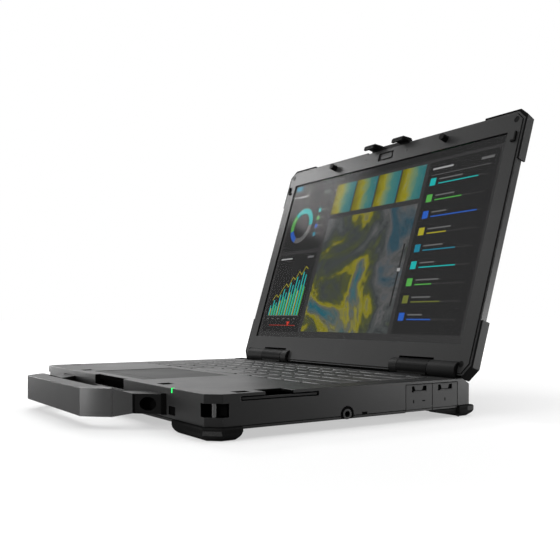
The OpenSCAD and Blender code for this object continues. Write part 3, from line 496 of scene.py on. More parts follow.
def screw_heads(name, body, place, spots, radius, tall, drive, count):
    """Low round heads at the spots, each with a drive hole of its own radius."""
    bm = bmesh.new()
    for spot in spots:
        lathe(bm, place, spot, ((radius, -0.3), (radius, tall - 0.25), (radius - 0.5, tall),
                                (drive, tall), (drive - 0.2, 0.1)), count)
    piece(name, bm, body, "dark_steel")


# ---------------------------------------------------------------- rules for repeated parts

class Rule(Net):
    """A Geometry Nodes tree with named inputs."""

    def __init__(self, name, **inputs):
        super().__init__(bpy.data.node_groups.new(name, "GeometryNodeTree"))
        face = self.tree.interface
        face.new_socket(name="Geometry", in_out="INPUT", socket_type="NodeSocketGeometry")
        for key, (kind, default) in inputs.items():
            socket = face.new_socket(name=key, in_out="INPUT", socket_type="NodeSocket" + kind)
            if default is not None:
                socket.default_value = default
        face.new_socket(name="Geometry", in_out="OUTPUT", socket_type="NodeSocketGeometry")
        self.source = self.tree.nodes.new("NodeGroupInput")
        self.shape = Value(self, self.source.outputs["Geometry"])

    def input(self, name):
        return Value(self, self.source.outputs[name])

    def close(self, shape):
        """Ends the tree in Realize Instances and Set Material."""
        real = self.add("GeometryNodeRealizeInstances", None, {0: shape})
        skin = self.add("GeometryNodeSetMaterial", None,
                        {"Geometry": real, "Material": self.input("Finish")})
        end = self.tree.nodes.new("NodeGroupOutput")
        self.feed(end.inputs[0], skin)
        return self.tree


def row_rule(name):
    """Copies of the mesh in a grid: Across by Along, at two steps."""
    rule = Rule(name, Finish=("Material", None), Across=("Int", 4),
                Along=("Int", 1), Step_Across=("Vector", (0.004, 0, 0)),
                Step_Along=("Vector", (0, 0.004, 0)))
    line = {"mode": "OFFSET"}
    first = rule.add("GeometryNodeMeshLine", line, {
        "Count": rule.input("Across"), "Offset": rule.input("Step_Across")})
    second = rule.add("GeometryNodeMeshLine", line, {
        "Count": rule.input("Along"), "Offset": rule.input("Step_Along")})
    grid = rule.add("GeometryNodeInstanceOnPoints", None, {"Points": second, "Instance": first})
    grid = rule.add("GeometryNodeRealizeInstances", None, {0: grid})
    copies = rule.add("GeometryNodeInstanceOnPoints", None,
                      {"Points": grid, "Instance": rule.shape})
    return rule.close(copies)


def ring_rule(name):
    """Copies of the mesh turned about an upright axis through Centre."""
    rule = Rule(name, Finish=("Material", None), Count=("Int", 12),
                Centre=("Vector", (0, 0, 0)))
    line = rule.add("GeometryNodeMeshLine", {"mode": "OFFSET"}, {
        "Count": rule.input("Count"), "Offset": (0, 0, 0)})
    line = rule.add("GeometryNodeTransform", None, {
        "Geometry": line, "Translation": rule.input("Centre")})
    turn = rule.add("GeometryNodeInputIndex") * (math.tau / rule.input("Count"))
    away = rule.add("ShaderNodeVectorMath", {"operation": "SCALE"}, {
        0: rule.input("Centre"), "Scale": -1.0})
    centred = rule.add("GeometryNodeTransform", None, {
        "Geometry": rule.shape, "Translation": away})
    copies = rule.add("GeometryNodeInstanceOnPoints", None, {
        "Points": line, "Instance": centred,
        "Rotation": rule.add("ShaderNodeCombineXYZ", None, {"Z": turn})})
    return rule.close(copies)


def places_rule(name, kinds):
    """One of several parts at each vertex, picked by its whole-number attribute kind."""
    inputs = {"Part_%d" % (i + 1): ("Object", None) for i in range(kinds)}
    rule = Rule(name, Finish=("Material", None), **inputs)
    gather = rule.tree.nodes.new("GeometryNodeGeometryToInstance")
    for i in reversed(range(kinds)):
        part = rule.add("GeometryNodeObjectInfo", None, {
            "Object": rule.input("Part_%d" % (i + 1))}, "Geometry")
        rule.tree.links.new(part.socket, gather.inputs[0])
    kind = rule.add("GeometryNodeInputNamedAttribute", {"data_type": "INT"},
                    {"Name": "kind"}, "Attribute")
    copies = rule.add("GeometryNodeInstanceOnPoints", None, {
        "Points": rule.shape, "Instance": Value(rule, gather.outputs[0]),
        "Pick Instance": True, "Instance Index": kind})
    return rule.close(copies)


def rule_tree(name, maker, *args):
    """A tree made once and used again."""
    found = bpy.data.node_groups.get(name)
    return found or maker(name, *args)


def grow(name, tree, mesh, finish, body, slot, stands_for=(), **inputs):
    """Runs a tree on a mesh, and keeps what it makes as a plain piece."""
    thing = set_in_scene(name, mesh)
    shape = thing.modifiers.new("shape", "NODES")
    shape.node_group = tree
    inputs["Finish"] = finished(finish)
    for item in tree.interface.items_tree:
        if item.item_type == "SOCKET" and item.in_out == "INPUT" and item.name in inputs:
            shape[item.identifier] = inputs[item.name]
    plain(thing)
    return carry(thing, body, stands_for)


def grow_row(name, mesh, finish, body, slot, across, step, along=1, second=(0, 0, 0)):
    """A row or grid of copies of a mesh."""
    return grow(name, rule_tree("Row of copies", row_rule), mesh, finish, body, slot,
                Across=across, Along=along, Step_Across=step, Step_Along=second)


def grow_ring(name, mesh, finish, body, slot, count, centre, stands_for=()):
    """A ring of copies of a mesh round an upright axis."""
    return grow(name, rule_tree("Ring of copies", ring_rule), mesh, finish, body, slot,
                stands_for, Count=count, Centre=centre)


def grow_at_places(name, places, parts, finish, body, slot, stands_for=()):
    """Puts the parts, given by number, at the places, as one piece."""
    mesh = bpy.data.meshes.new(name)
    mesh.from_pydata([place for place, _ in places], [], [])
    kinds = mesh.attributes.new("kind", "INT", "POINT")
    for i, (_, kind) in enumerate(places):
        kinds.data[i].value = kind
    models = [set_in_scene("%s_part_%d" % (name, i), part) for i, part in enumerate(parts)]
    tree = rule_tree("Parts at places %d" % len(parts), places_rule, len(parts))
    ports = {"Part_%d" % (i + 1): model for i, model in enumerate(models)}
    grow(name, tree, mesh, finish, body, slot, stands_for, **ports)
    for model in models:
        bpy.data.objects.remove(model)


# ---------------------------------------------------------------- settings

def colour_setting(name, description, default):
    return bpy.props.FloatVectorProperty(name=name, description=description, default=default,
                                         subtype="COLOR", size=3, min=0, max=1)


def size_setting(name, description, default, low, high):
    return bpy.props.FloatProperty(name=name, description=description, default=default * MM,
                                   min=low * MM, max=high * MM, unit="LENGTH",
                                   subtype="DISTANCE")


class NotebookFinishes(bpy.types.PropertyGroup):
    """Colours a user would change."""

    case: colour_setting("Case", "Paint of the case, handle and lid", grey(0.024))
    bezel: colour_setting("Bezel", "Plastic round the screen and of the doors", grey(0.02))
    key: colour_setting("Keys", "Key caps", grey(0.02))
    legend: colour_setting("Digits", "Numbers on the keys", grey(0.42))
    rubber: colour_setting("Rubber", "Feet and bumpers", grey(0.0065))
    light: colour_setting("Status light", "Light in the front edge", (0.02, 0.75, 0.12))
    screen: colour_setting("Screen ground", "Ground of the picture", grey(0.044))
    cool: colour_setting("Picture, cool", "Cool colour of the picture", (0.02, 0.22, 0.32))
    warm: colour_setting("Picture, warm", "Warm colour of the picture", (0.42, 0.38, 0.03))


class NotebookSizes(bpy.types.PropertyGroup):
    """Sizes a user would change."""

    rounding: size_setting("Edge rounding", "Radius on the case's edges", 0.35, 0.1, 0.6)
    key_corner: size_setting("Key corner", "Corner radius of a key cap", 1.6, 0.5, 3)
    key_dish: size_setting("Key dish", "How far a key's middle dips", 0.25, 0, 0.5)
    foot_round: size_setting("Foot rounding", "Radius on the rubber's edges", 1.5, 0.3, 2)


def finishes():
    return bpy.context.scene.notebook_finishes


def sizes():
    return bpy.context.scene.notebook_sizes


# ---------------------------------------------------------------- finishes

# Heights between which the sides of a key cap turn from painted shade, near black, to its colour
KEY_SHADE_FADE = (0.0271, 0.0279)


def key_finish(name, colour):
    """Fine-textured caps, smoother where fingers polish their tops; their sides are painted shade and their rims
    lighter, part wear and part painted highlight.
    """
    finish = Finish(name, Specular_IOR_Level=0.09)
    grain = finish.cells(KEY_GRAIN)
    touch = finish.noise(KEY_TOUCH, 3.0)
    # the rims lighten: part wear, part painted highlight where they catch the light
    lighter_edges = finish.edges() * touch.ramp(0.3, 0.6) * 0.7
    tone = finish.blend(shade(colour, 0.85), shade(colour, 1.25), touch)
    height = finish.add("ShaderNodeSeparateXYZ", None, {0: finish.place()}, "Z")
    tone = finish.blend(shade(colour, 0.12), tone, height.ramp(*KEY_SHADE_FADE))
    finish.set(Base_Color=finish.blend(tone, shade(colour, 6.0), lighter_edges),
               Roughness=0.46 + (touch - 0.5) * 0.2 - lighter_edges * 0.12)
    return finish.bump(grain, 0.00002)


def glass_finish(name, colour):
    """Thin cover glass: nearly clear, glossy, with faint finger smears."""
    finish = Finish(name, IOR=1.5, Specular_IOR_Level=0.105)
    smear = finish.noise(GLASS_SMEAR, 4.0, finish.place((1, 1, 0.35)), 0.6, 1.5)
    dust = finish.cells(GLASS_DUST) < 0.05
    finish.set(Base_Color=colour, Roughness=0.12 + smear.ramp(0.5, 0.8) * 0.16,
               Alpha=0.07 + smear.ramp(0.55, 0.85) * 0.02 + dust * 0.03)
    return finish


def field_finish(name, warm):
    """Contour bands of a made-up height field, in the picture's colours."""
    finish = Finish(name, Roughness=0.5, Specular_IOR_Level=0, Emission_Strength=0.85,
                    Base_Color=(0, 0, 0))
    where = finish.place((1, 1, 1), (0, 0.5, 0))
    land = finish.noise(FIELD_LAND, 4.0, where, 0.52, 0.9)
    fine = finish.noise(FIELD_DETAIL, 3.0, where, 0.6)
    height = land + (fine - 0.5) * 0.05
    tone = finish.add("ShaderNodeValToRGB", {"stops": (
        (0.3, (0.04, 0.09, 0.12)), (0.4, grey(0.13)), (0.47, (0.06, 0.07, 0.07)),
        (0.53, (0.09, 0.1, 0.04)), (0.58, shade(warm, 0.75)), (0.63, (0.14, 0.15, 0.12)),
        (0.7, (0.03, 0.14, 0.18)))}, {"Fac": height})
    line = finish.math("FRACT", height * FIELD_BANDS) < 0.12
    tone = finish.blend(tone, grey(0.02), line * 0.45)
    finish.set(Emission_Color=finish.blend(tone, grey(0.3), fine.ramp(0.6, 0.8) * 0.35))
    return finish


def strip_finish(name, warm):
    """Tiles that pass from olive to teal."""
    finish = Finish(name, Roughness=0.5, Specular_IOR_Level=0, Emission_Strength=0.8,
                    Base_Color=(0, 0, 0))
    where = finish.add("ShaderNodeTexCoord", output="UV")
    across = finish.add("ShaderNodeSeparateXYZ", None, {0: where}, "X")
    swirl = finish.noise(TILE_SWIRL, 4.0, None, 0.6, 1.2)
    tone = finish.add("ShaderNodeValToRGB", {"stops": (
        (0.0, shade(warm, 0.4)), (0.3, shade(warm, 0.85)), (0.5, (0.2, 0.3, 0.16)),
        (0.7, (0.07, 0.24, 0.22)), (1.0, (0.04, 0.2, 0.22)))},
        {"Fac": across + (swirl - 0.5) * 0.5})
    finish.set(Emission_Color=finish.blend(tone, grey(0.34), swirl.ramp(0.6, 0.72) * 0.35))
    return finish


# Colours in these tables are a grey level, three numbers, or a setting and a factor
PICTURE_TONES = {
    "screen_ground": ("screen", 1.0),
    "screen_bar": ("screen", 0.6),
    "screen_line": ("screen", 3.4),
    "screen_text": 0.4,
    "cool_plain": ("cool", 1.0),
    "cool_bright": (0.02, 0.46, 0.44),
    "blue": (0.03, 0.12, 0.52),
    "green": (0.10, 0.42, 0.08),
    "olive": (0.16, 0.18, 0.04),
    "yellow": ("warm", 1.0),
    "red": (0.6, 0.05, 0.03),
}
FINISHES = {
    # roughness, grain, depth of the grain, wear, mottling, specular level
    "case_paint": (painted, ("case", 0.5), 0.42, 0.0005, 0.00003, 0.5, 0.12, 0.075),
    "cover_paint": (painted, ("case", 0.5), 0.5, 0.0005, 0.00003, 0.5, 0.12, 0.06),
    "handle_paint": (painted, ("case", 0.5), 0.33, 0.0005, 0.00003, 0.3, 0.12, 0.03),
    "handle_corner": (painted, ("case", 0.5), 0.33, 0.0005, 0.00003, 0.3, 0.12, 0.4),
    # the handle's end faces: the handle paint made darker, painted shade
    "handle_end": (painted, ("case", 0.15), 0.5, 0.0005, 0.00003, 0.3, 0.12, 0.024),
    "lid_paint": (painted, ("case", 1.1), 0.42, 0.0005, 0.00003, 0.5, 0.12, 0.09),
    "hinge_paint": (painted, 0.006, 0.45, 0.0004, 0.00002, 0.6, 0.12, 0.024),
    "touch_pad": (painted, 0.022, 0.5, 0.0003, 0.00001, 0.2, 0.08, 0.03),
    # roughness, grain, depth of the grain, wear, dust, specular level
    "hinge_cover": (moulded, 0.008, 0.5, 0.0006, 0.00003, 0.4, 0.04, 0.045),
    # outer faces of the bumpers: the rubber made lighter, a painted highlight
    "bumper_side": (moulded, 0.03, 0.6, 0.0009, 0.00005, 0.5, 0.08, 0.06),
    "worn_rubber": (moulded, 0.03, 0.7, 0.0009, 0.00005, 0.5, 0.3, 0.03),
    "bezel": (moulded, ("bezel", 1.0), 0.45, 0.0006, 0.00003, 0.35, 0.06, 0.105),
    "door_plastic": (moulded, 0.033, 0.5, 0.0006, 0.00003, 0.5, 0.06, 0.045),
    "black_moulding": (moulded, 0.006, 0.55, 0.0006, 0.00003, 0.3, 0.04, 0.03),
    "slot_blank": (moulded, 0.012, 0.5, 0.0005, 0.00002, 0.6, 0.04, 0.045),
    # near black and unreflecting: painted shade in pockets, slots, sockets, seams, recesses and under the lid, and
    # the colour of the small raised marks
    "dark_pocket": (moulded, 0.003, 0.85, 0.0006, 0.00003, 0.1, 0.0, 0.0),
    "moulded_rubber": (moulded, ("rubber", 1.0), 0.8, 0.0011, 0.00006, 0.5, 0.04, 0.009),
    "legend": (moulded, ("legend", 1.0), 0.6, 0.0004, 0.00001, 0.0, 0.0, 0.15),
    # roughness
    "turned_steel": (bare_metal, grey(0.52, 0.01), 0.3),
    "dark_steel": (bare_metal, 0.09, 0.4),
    "post_steel": (bare_metal, 0.06, 0.2),
    "drawn_copper": (bare_metal, (0.72, 0.32, 0.18), 0.34),
    # a colour alone, or the strength of a light
    "solder_mask": (circuit, (0.012, 0.06, 0.03)),
    "key_cap": (key_finish, ("key", 1.0)),
    "cover_glass": (glass_finish, (0.01, 0.01, 0.012)),
    "status_light": (lit, ("light", 1.0), 2.5),
    "contour_field": (field_finish, ("warm", 1.0)),
    "tile_blend": (strip_finish, ("warm", 1.0)),
    **{name: (lit, tone) for name, tone in PICTURE_TONES.items()},
}


def chosen(colour):
    """The colour that an entry of the tables stands for."""
    if isinstance(colour, float):
        return grey(colour)
    if isinstance(colour[0], str):
        setting, factor = colour
        return shade(getattr(finishes(), setting), factor)
    return colour


def finished(name):
    """The material of a finish, made when it is first asked for."""
    found = bpy.data.materials.get(name)
    if found:
        return found
    maker, colour, *numbers = FINISHES[name]
    return maker(name, chosen(colour), *numbers).material


# ---------------------------------------------------------------- the pieces

BODY_OF = {node: body for body, group in frame["record"]["behaviour"]["bodies"].items()
           for node in group}
SLOT_OF = {part["node"]: part["material_slot"] for part in frame["record"]["subparts"]}
RIGHT, LEFT = 1, -1
SIDES = ((RIGHT, "right"), (LEFT, "left"))
W = HALF_W / MM
D = (BACK - FRONT) / 2 / MM
TOP = DECK / MM
SEAM_Z = SEAM / MM


def span(node, axis):
    """Lowest and highest place of a node along an axis, in base millimetres."""
    low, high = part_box(node)
    shift = MID if axis == 1 else 0.0
    return (low[axis] - shift) / MM, (high[axis] - shift) / MM


def in_case(point):
    """True for a point well inside the case's outside, as in a pocket or a slot."""
    x, y, z = abs(point.x) / MM, (point.y - MID) / MM, point.z / MM
    return (x < W - 0.4 and 0.4 - D < y < D - 12 and SEAM_Z + 0.4 < z < TOP - 0.35
            and x - y < W + D - 9)


def at_side(y, z, x):
    """Point of an outline drawn on the side."""
    return at_base(x, y, z)


def case_seam():
    """Painted shade: a near-black band round the case where the bottom cover meets it."""
    cut = 8.3
    side, front, back = W + 0.04, -D - 0.04, D - 0.3
    outline = [(cut - side, front), (side - cut, front), (side, front + cut), (side, back),
               (-side, back), (-side, front + cut)]
    bm = bmesh.new()
    layers = []
    for inset, z in ((0.3, -0.25), (0.0, -0.2), (0.0, 0.2), (0.3, 0.25)):
        scale = 1 - inset / side
        layers.append(([(x * scale, y * scale) for x, y in outline], SEAM_Z + z))
    add_layers(bm, at_base, layers, closed=False)
    piece("case_seam", bm, "base", "dark_pocket")


# The lip behind the keyboard: half its middle length, and where its outer ends start
LIP_MIDDLE = 88.2
LIP_OUTER = 130.0


def rear_trim():
    """Lip behind the keyboard that closes the gap under the open lid, near black as painted shade behind the keys.
    """
    bm = bmesh.new()
    lip = TOP + 0.42
    back = D - 1.6
    middle = [(back - 9, TOP - 0.3), (back - 8.4, lip - 0.1), (back - 7.6, lip),
              (back, lip), (back + 0.3, TOP - 0.6), (back + 0.8, TOP - 1.4),
              (back + 0.8, TOP - 3)]
    add_prism(bm, middle, -LIP_MIDDLE, LIP_MIDDLE, at_side)
    outer = [(y - 2.6, z) for y, z in middle[:4]] + [(back - 2.6, TOP - 2)]
    for low, high in ((LIP_OUTER, W - 1.2), (1.2 - W, -LIP_OUTER)):
        add_prism(bm, outer, low, high, at_side)
    soften(bm, 0.15)
    piece("rear_lip", bm, "base", "dark_pocket")


def draw_case():
    width = sizes().rounding / MM
    # faces in the case's pockets and slots take painted shade
    dress("base_frame", "case_paint", width, tints=(("dark_pocket", in_case),))
    dress("bottom_cover", "cover_paint", width)
    dress("case_screws", "dark_steel", 0.15)
    case_seam()
    rear_trim()
    under_details()


# Plan of the handle: outer line from the grip's end to the end block
GRIP_HALF = W - 104.2
REACH = -D - 42.6
OUTER = ((GRIP_HALF, REACH), (GRIP_HALF + 24.2, REACH + 26.9))
END_FACE = (OUTER[1], (W - 62, -D))
HANDLE_BULGE = 1.9
HANDLE_CUTS = 12
# Heights between which the sockets in the end faces lie
SOCKET_Z = (11, 23)
# Start, stop, foot, top and thickness of the plates of painted shade on an end face
END_PLATES = ((-0.2, 1.5, 10.5, 23.3, 0.06), (20.0, 23.6, 10.1, 23.9, 0.08))


def direction(line):
    """Unit direction of a line of the plan."""
    (x0, y0), (x1, y1) = line
    length = math.hypot(x1 - x0, y1 - y0)
    return (x1 - x0) / length, (y1 - y0) / length


def beside(line, point):
    """How far a point is along a line of the plan, and how far outside it, in mm."""
    x, y = abs(point.x) / MM - line[0][0], (point.y - MID) / MM - line[0][1]
    dx, dy = direction(line)
    return x * dx + y * dy, x * dy - y * dx


def curve_handle_sides(bm):
    """Bends the slanting sides of the handle into one smooth curve."""
    (x0, _), (x1, _) = OUTER
    (dx, dy), length = direction(OUTER), math.dist(*OUTER)
    for side in (RIGHT, LEFT):
        for step in range(1, HANDLE_CUTS):
            x = x0 + (x1 - x0) * step / HANDLE_CUTS
            bmesh.ops.bisect_plane(bm, geom=bm.verts[:] + bm.edges[:] + bm.faces[:],
                                   dist=0.00001, plane_co=at_base(side * x, 0, 0),
                                   plane_no=(1, 0, 0))
    for vert in bm.verts:
        place, off = beside(OUTER, vert.co)
        share = place / length
        if 0.001 < share < 0.999 and -0.3 < off < 2.2:
            move = 4 * HANDLE_BULGE * share * (1 - share) - off
            side = RIGHT if vert.co.x > 0 else LEFT
            vert.co.x += side * move * dy * MM
            vert.co.y -= move * dx * MM


def on_curved_side(point):
    place, off = beside(OUTER, point)
    return 0 < place < math.dist(*OUTER) and -0.3 < off < HANDLE_BULGE + 0.6


def light_curve_evenly(mesh):
    """Gives the curved sides of the handle the normals of the true curve."""
    (dx, dy), length = direction(OUTER), math.dist(*OUTER)
    normals = [Vector(corner.vector) for corner in mesh.corner_normals]
    for face in mesh.polygons:
        side = RIGHT if face.center.x > 0 else LEFT
        outward = side * face.normal.x * dy - face.normal.y * dx
        if outward < 0.8 or not 0 < beside(OUTER, face.center)[0] < length:
            continue
        for corner in face.loop_indices:
            point = mesh.vertices[mesh.loops[corner].vertex_index].co
            share = beside(OUTER, point)[0] / length
            lean = 4 * HANDLE_BULGE * (1 - 2 * share) / length
            normals[corner] = Vector((side * (dy - dx * lean), -dx - dy * lean,
                                      0)).normalized()
    mesh.normals_split_custom_set(normals)


def end_face_plate(bm, side, start, stop, low, high, out):
    """Thin plate on the slanting end face of the handle, from start to stop mm along it."""
    (x, y), (dx, dy) = END_FACE[0], direction(END_FACE)
    corners = [(side * (x + dx * place + dy * off), y + dy * place - dx * off)
               for place, off in ((start, -0.3), (start, out), (stop, out), (stop, -0.3))]
    add_layers(bm, at_base, [(corners, low), (corners, high)])


def in_socket(point):
    """True inside the sockets in the end faces of the handle."""
    _, off = beside(END_FACE, point)
    return (-7 < off < -0.25 and abs(point.x) / MM > END_FACE[0][0]
            and (point.y - MID) / MM < -D and SOCKET_Z[0] < point.z / MM < SOCKET_Z[1])


def on_end_face(point):
    _, off = beside(END_FACE, point)
    return abs(off) < 0.25 and abs(point.x) / MM > END_FACE[0][0] + 0.4


def draw_handle():
    # Sockets in painted shade, and end faces in a darker copy of the handle paint, painted shade too
    handle = dress("carry_handle", "handle_paint", 0.45, shape=curve_handle_sides,
                   tints=(("dark_pocket", in_socket), ("handle_corner", on_curved_side),
                          ("handle_end", on_end_face)))
    light_curve_evenly(handle.data)
    dress("handle_bolts", "dark_steel", 0.2)
    # Near-black plates at the joints of the end faces: painted shade
    bm = bmesh.new()
    for side in (RIGHT, LEFT):
        for plate in END_PLATES:
            end_face_plate(bm, side, *plate)
    piece("handle_joints", bm, "base", "dark_pocket")


# Widths of the keys in units, from the front row to the function keys
KEY_ROWS = (
    (1.25, 1.25, 1.25, 1.25, 4.25, 1.25, 1.25, 1.25, 1.25, 1.25),
    (2.25, *[1] * 10, 3.25),
    (1.75, *[1] * 11, 2.75),
    (1.5, *[1] * 12, 2),
    (*[1] * 13, 2.5),
    (1.5, *[1] * 14),
)
ROW_UNITS = 15.5
KEY_GAP = 2.4
TRAY_EDGE = 0.8
FUNCTION_DEEP = 9.6
KEYS_X = 21 + TRAY_EDGE - W
KEYS_Y = -D + 90.2 + TRAY_EDGE
UNIT = -2 * KEYS_X / ROW_UNITS
ROW = (D - 19.4 - TRAY_EDGE - FUNCTION_DEEP - KEYS_Y) / 5
CAP_LOW = 26.0
CAP_TOP = 28.35
# Row with the digits, their size, and how far each is from the middle of its key
DIGIT_ROW = 5
DIGIT_SIZE = 5.2
DIGIT_OFF = (-2.6, 1.6)


def key_cap(width, depth):
    """Key cap round its own middle: sloping sides, round corners and a dished top."""
    bm = bmesh.new()
    corner = sizes().key_corner / MM
    dish = sizes().key_dish / MM
    x, y = (-width / 2, width / 2), (-depth / 2, depth / 2)
    layers = []
    for inset, z in ((0, CAP_LOW), (0.1, CAP_TOP - 0.75), (0.35, CAP_TOP - 0.3),
                     (0.8, CAP_TOP), (1.7, CAP_TOP - 0.08), (3.2, CAP_TOP - dish)):
        layers.append((round_rect(x, y, corner, 3, min(inset, depth / 2 - 1.0)), z))
    add_layers(bm, lambda a, b, z: Vector((a * MM, b * MM, z * MM)), layers)
    # sloping rim faces, which the key finish lightens as wear and painted highlight
    mark = bm.faces.layers.float.new("edge")
    for face in bm.faces:
        if 0.3 < face.normal.z < 0.97:
            face[mark] = 1.0
    return mesh_of(bm, "key_cap_%s" % width)


def row_places(row):
    """Middle and width of each key of a row, and how deep the row is."""
    x = KEYS_X
    deep = FUNCTION_DEEP if row == len(KEY_ROWS) else ROW
    y = KEYS_Y + (row - 1) * ROW + deep / 2
    spots = []
    for width in KEY_ROWS[row - 1]:
        spots.append((x + width * UNIT / 2, y, width))
        x += width * UNIT
    return spots, deep


def digit_mesh(digit, size):
    """A numeral as a thin mesh round its own middle."""
    curve = bpy.data.curves.new("digit", "FONT")
    curve.body = digit
    curve.size = size * MM
    curve.extrude = 0.03 * MM
    curve.align_x = "CENTER"
    curve.align_y = "CENTER"
    curve.resolution_u = 2
    thing = set_in_scene("digit", curve)
    mesh = shown_mesh(thing)
    bpy.data.objects.remove(thing)
    return mesh


def draw_keys():
    dress("keyboard_tray", "black_moulding", 0.2)
    for row in range(1, len(KEY_ROWS) + 1):
        spots, deep = row_places(row)
        widths = sorted(set(width for _, _, width in spots))
        caps = [key_cap(width * UNIT - KEY_GAP, deep - KEY_GAP) for width in widths]
        places = [(at_base(x, y, 0), widths.index(width)) for x, y, width in spots]
        node = "key_row_%d" % row
        grow_at_places(node + "_caps", places, caps, "key_cap", BODY_OF[node],
                       SLOT_OF[node], (node,))
    spots, _ = row_places(DIGIT_ROW)
    digits = [digit_mesh(digit, DIGIT_SIZE) for digit in "1234567890"]
    height = CAP_TOP - sizes().key_dish / MM + 0.02
    places = [(at_base(x + DIGIT_OFF[0], y + DIGIT_OFF[1], height), i)
              for i, (x, y, _) in enumerate(spots[1:len(digits) + 1])]
    grow_at_places("key_digits", places, digits, "legend", "keys_5", "keys")


def draw_touchpad():
    dress("touchpad", "touch_pad", 0.15)
    for _, side in SIDES:
        dress("touch_button_" + side, "touch_pad", 0.2)
    dress("power_button", "black_moulding", 0.2)


# How far the outermost faces of the bumpers are beyond the case
BUMPER_OUT = 1.75
# Worn patches on the feet: how far out they are, the cut corner and the wear's thickness
PATCH_OUT = 1.9
PATCH_CUT = 9.1
PATCH_DEPTHS = (-0.25, 0.12)


def draw_rubber():
    def outermost(point):
        return abs(point.x) / MM > W + BUMPER_OUT

    width = sizes().foot_round / MM
    for _, side in SIDES:
        dress("foot_front_" + side, "moulded_rubber", width, 3)
        dress("foot_rear_" + side, "moulded_rubber", width, 3)
        for node in ("bumper_top_" + side, "bumper_bottom_" + side):
            # The outermost bumper faces are lighter: painted light on that side
            dress(node, "moulded_rubber", 0.5, tints=(("bumper_side", outermost),))
    foot_patches()


def foot_patches():
    """Worn grey patches on the corners of the feet."""
    bm = bmesh.new()
    x, y = W + PATCH_OUT - PATCH_CUT, -D - PATCH_OUT
    corner = ((0.02, 3.6), (0.98, 3.6), (0.94, 6.3), (0.06, 6.3))
    for side in (RIGHT, LEFT):
        def on_corner(share, z, off, side=side):
            away = PATCH_CUT * share
            return at_base(side * (x + away + off * 0.7), y + away - off * 0.7, z)

        add_layers(bm, on_corner, [(corner, depth) for depth in PATCH_DEPTHS])
        add_prism(bm, round_rect((D - 3.4, D + 2.6), (4.4, 7.6), 0.8), -0.3, 0.08,
                  on_side(side, PATCH_OUT + W))
    piece("foot_patches", bm, "base", "worn_rubber")


def on_side(side, x):
    """Place function for an outline on the right or left side of the case."""
    return lambda y, z, out: at_base(side * (x + out), y, z)


def door_grip(bm, side, outside, mid, low, high):
    """Tab that hangs in a door's finger recess, and the lit ledge under it."""
    place = on_side(side, outside)
    top, foot = high - 0.15, low + 0.95
    add_prism(bm, [(mid - 4.4, top), (mid - 2.9, foot), (mid + 3.3, foot), (mid + 4.9, top)],
              -1.25, -0.3, place)
    add_prism(bm, [(mid - 4.6, low - 0.1), (mid + 6.6, low - 0.1), (mid + 6.9, low + 0.6),
                   (mid - 4.9, low + 0.6)], -0.5, 0.14, place)


def raised_marks(name, body, outside, places):
    """Tiny raised marks on the right side, each with its middle, width and height."""
    bm = bmesh.new()
    place = on_side(RIGHT, outside)
    for y, z, wide, tall in places:
        add_prism(bm, round_rect((y - wide / 2, y + wide / 2), (z - tall / 2, z + tall / 2),
                                 0.2, 2), -0.1, 0.04, place)
    piece(name, bm, body, "dark_pocket")


# Finger tab of each door: its side and the middle of its recess; all at one height
DOOR_GRIPS = (("door_front", RIGHT, 55.9), ("door_rear", RIGHT, 81.2),
              ("door_drive", LEFT, -32.0))
GRIP_Z = (20.6, 25.8)
BLANK_Y, BLANK_Z = (-84.4, -30.3), (23.95, 25.3)
# Ring round the audio socket: its middle, and radii and heights of its section
JACK_AT = (-6.7, 9.6)
JACK_PROFILE = ((3.45, -0.5), (3.4, 0.05), (2.9, 0.16), (2.1, 0.1), (1.85, -0.4), (1.8, -0.5))


def draw_ports():
    def in_recess(point):
        return abs(point.x) / MM < W - 0.45

    # The doors' finger recesses are painted shade
    for node in ("port_door_front", "port_door_rear", "drive_door"):
        dress(node, "door_plastic", 0.22, tints=(("dark_pocket", in_recess),))
    outside = span("port_door_front", 0)[1]
    for body, side, mid in DOOR_GRIPS:
        bm = bmesh.new()
        door_grip(bm, side, outside, mid, *GRIP_Z)
        soften(bm, 0.12)
        piece(body + "_grip", bm, body, "door_plastic")
    raised_marks("door_front_marks", "door_front", outside,
                 ((51.1, 14, 1.0, 2.4), (60.6, 14.2, 2.6, 0.8)))
    raised_marks("door_rear_marks", "door_rear", outside,
                 ((81.2, 14, 0.9, 2.2),))
    raised_marks("jack_mark", "base", W, ((7.7, 9.4, 4.4, 1.5),))
    # The audio socket's bore is painted shade
    dress("audio_jack", "dark_pocket", 0.12)
    bm = bmesh.new()
    place = on_side(RIGHT, W)
    lathe(bm, place, JACK_AT, JACK_PROFILE)
    piece("jack_ring", bm, "base", "door_plastic")
    bm = bmesh.new()
    add_prism(bm, round_rect(BLANK_Y, BLANK_Z, 0.6), -1.6, -0.5, place)
    soften(bm, 0.15)
    piece("card_blank", bm, "base", "slot_blank")
    dress("power_jack", "black_moulding", 0.15)
    dress("port_block", "turned_steel", 0.15)
    # The card slot is painted shade
    dress("card_reader", "dark_pocket", 0.0)
    dress("door_pins", "turned_steel", 0.0)
    dress("strap_posts", "post_steel", 0.2)
    dress("status_leds", "status_light", 0.15)


def draw_hinges():
    for _, side in SIDES:
        dress("hinge_bracket_" + side, "hinge_paint", 0.35)
        dress("hinge_cover_" + side, "hinge_cover", 0.5, 3)
        dress("hinge_shaft_" + side, "dark_steel", 0.15)


# Where the lid is cut away for the hinge barrels, and how far up it the cut goes
NOTCH_X = (86.0, 132.0)
NOTCH_S = 8.6
LID_FOOT = -4.2
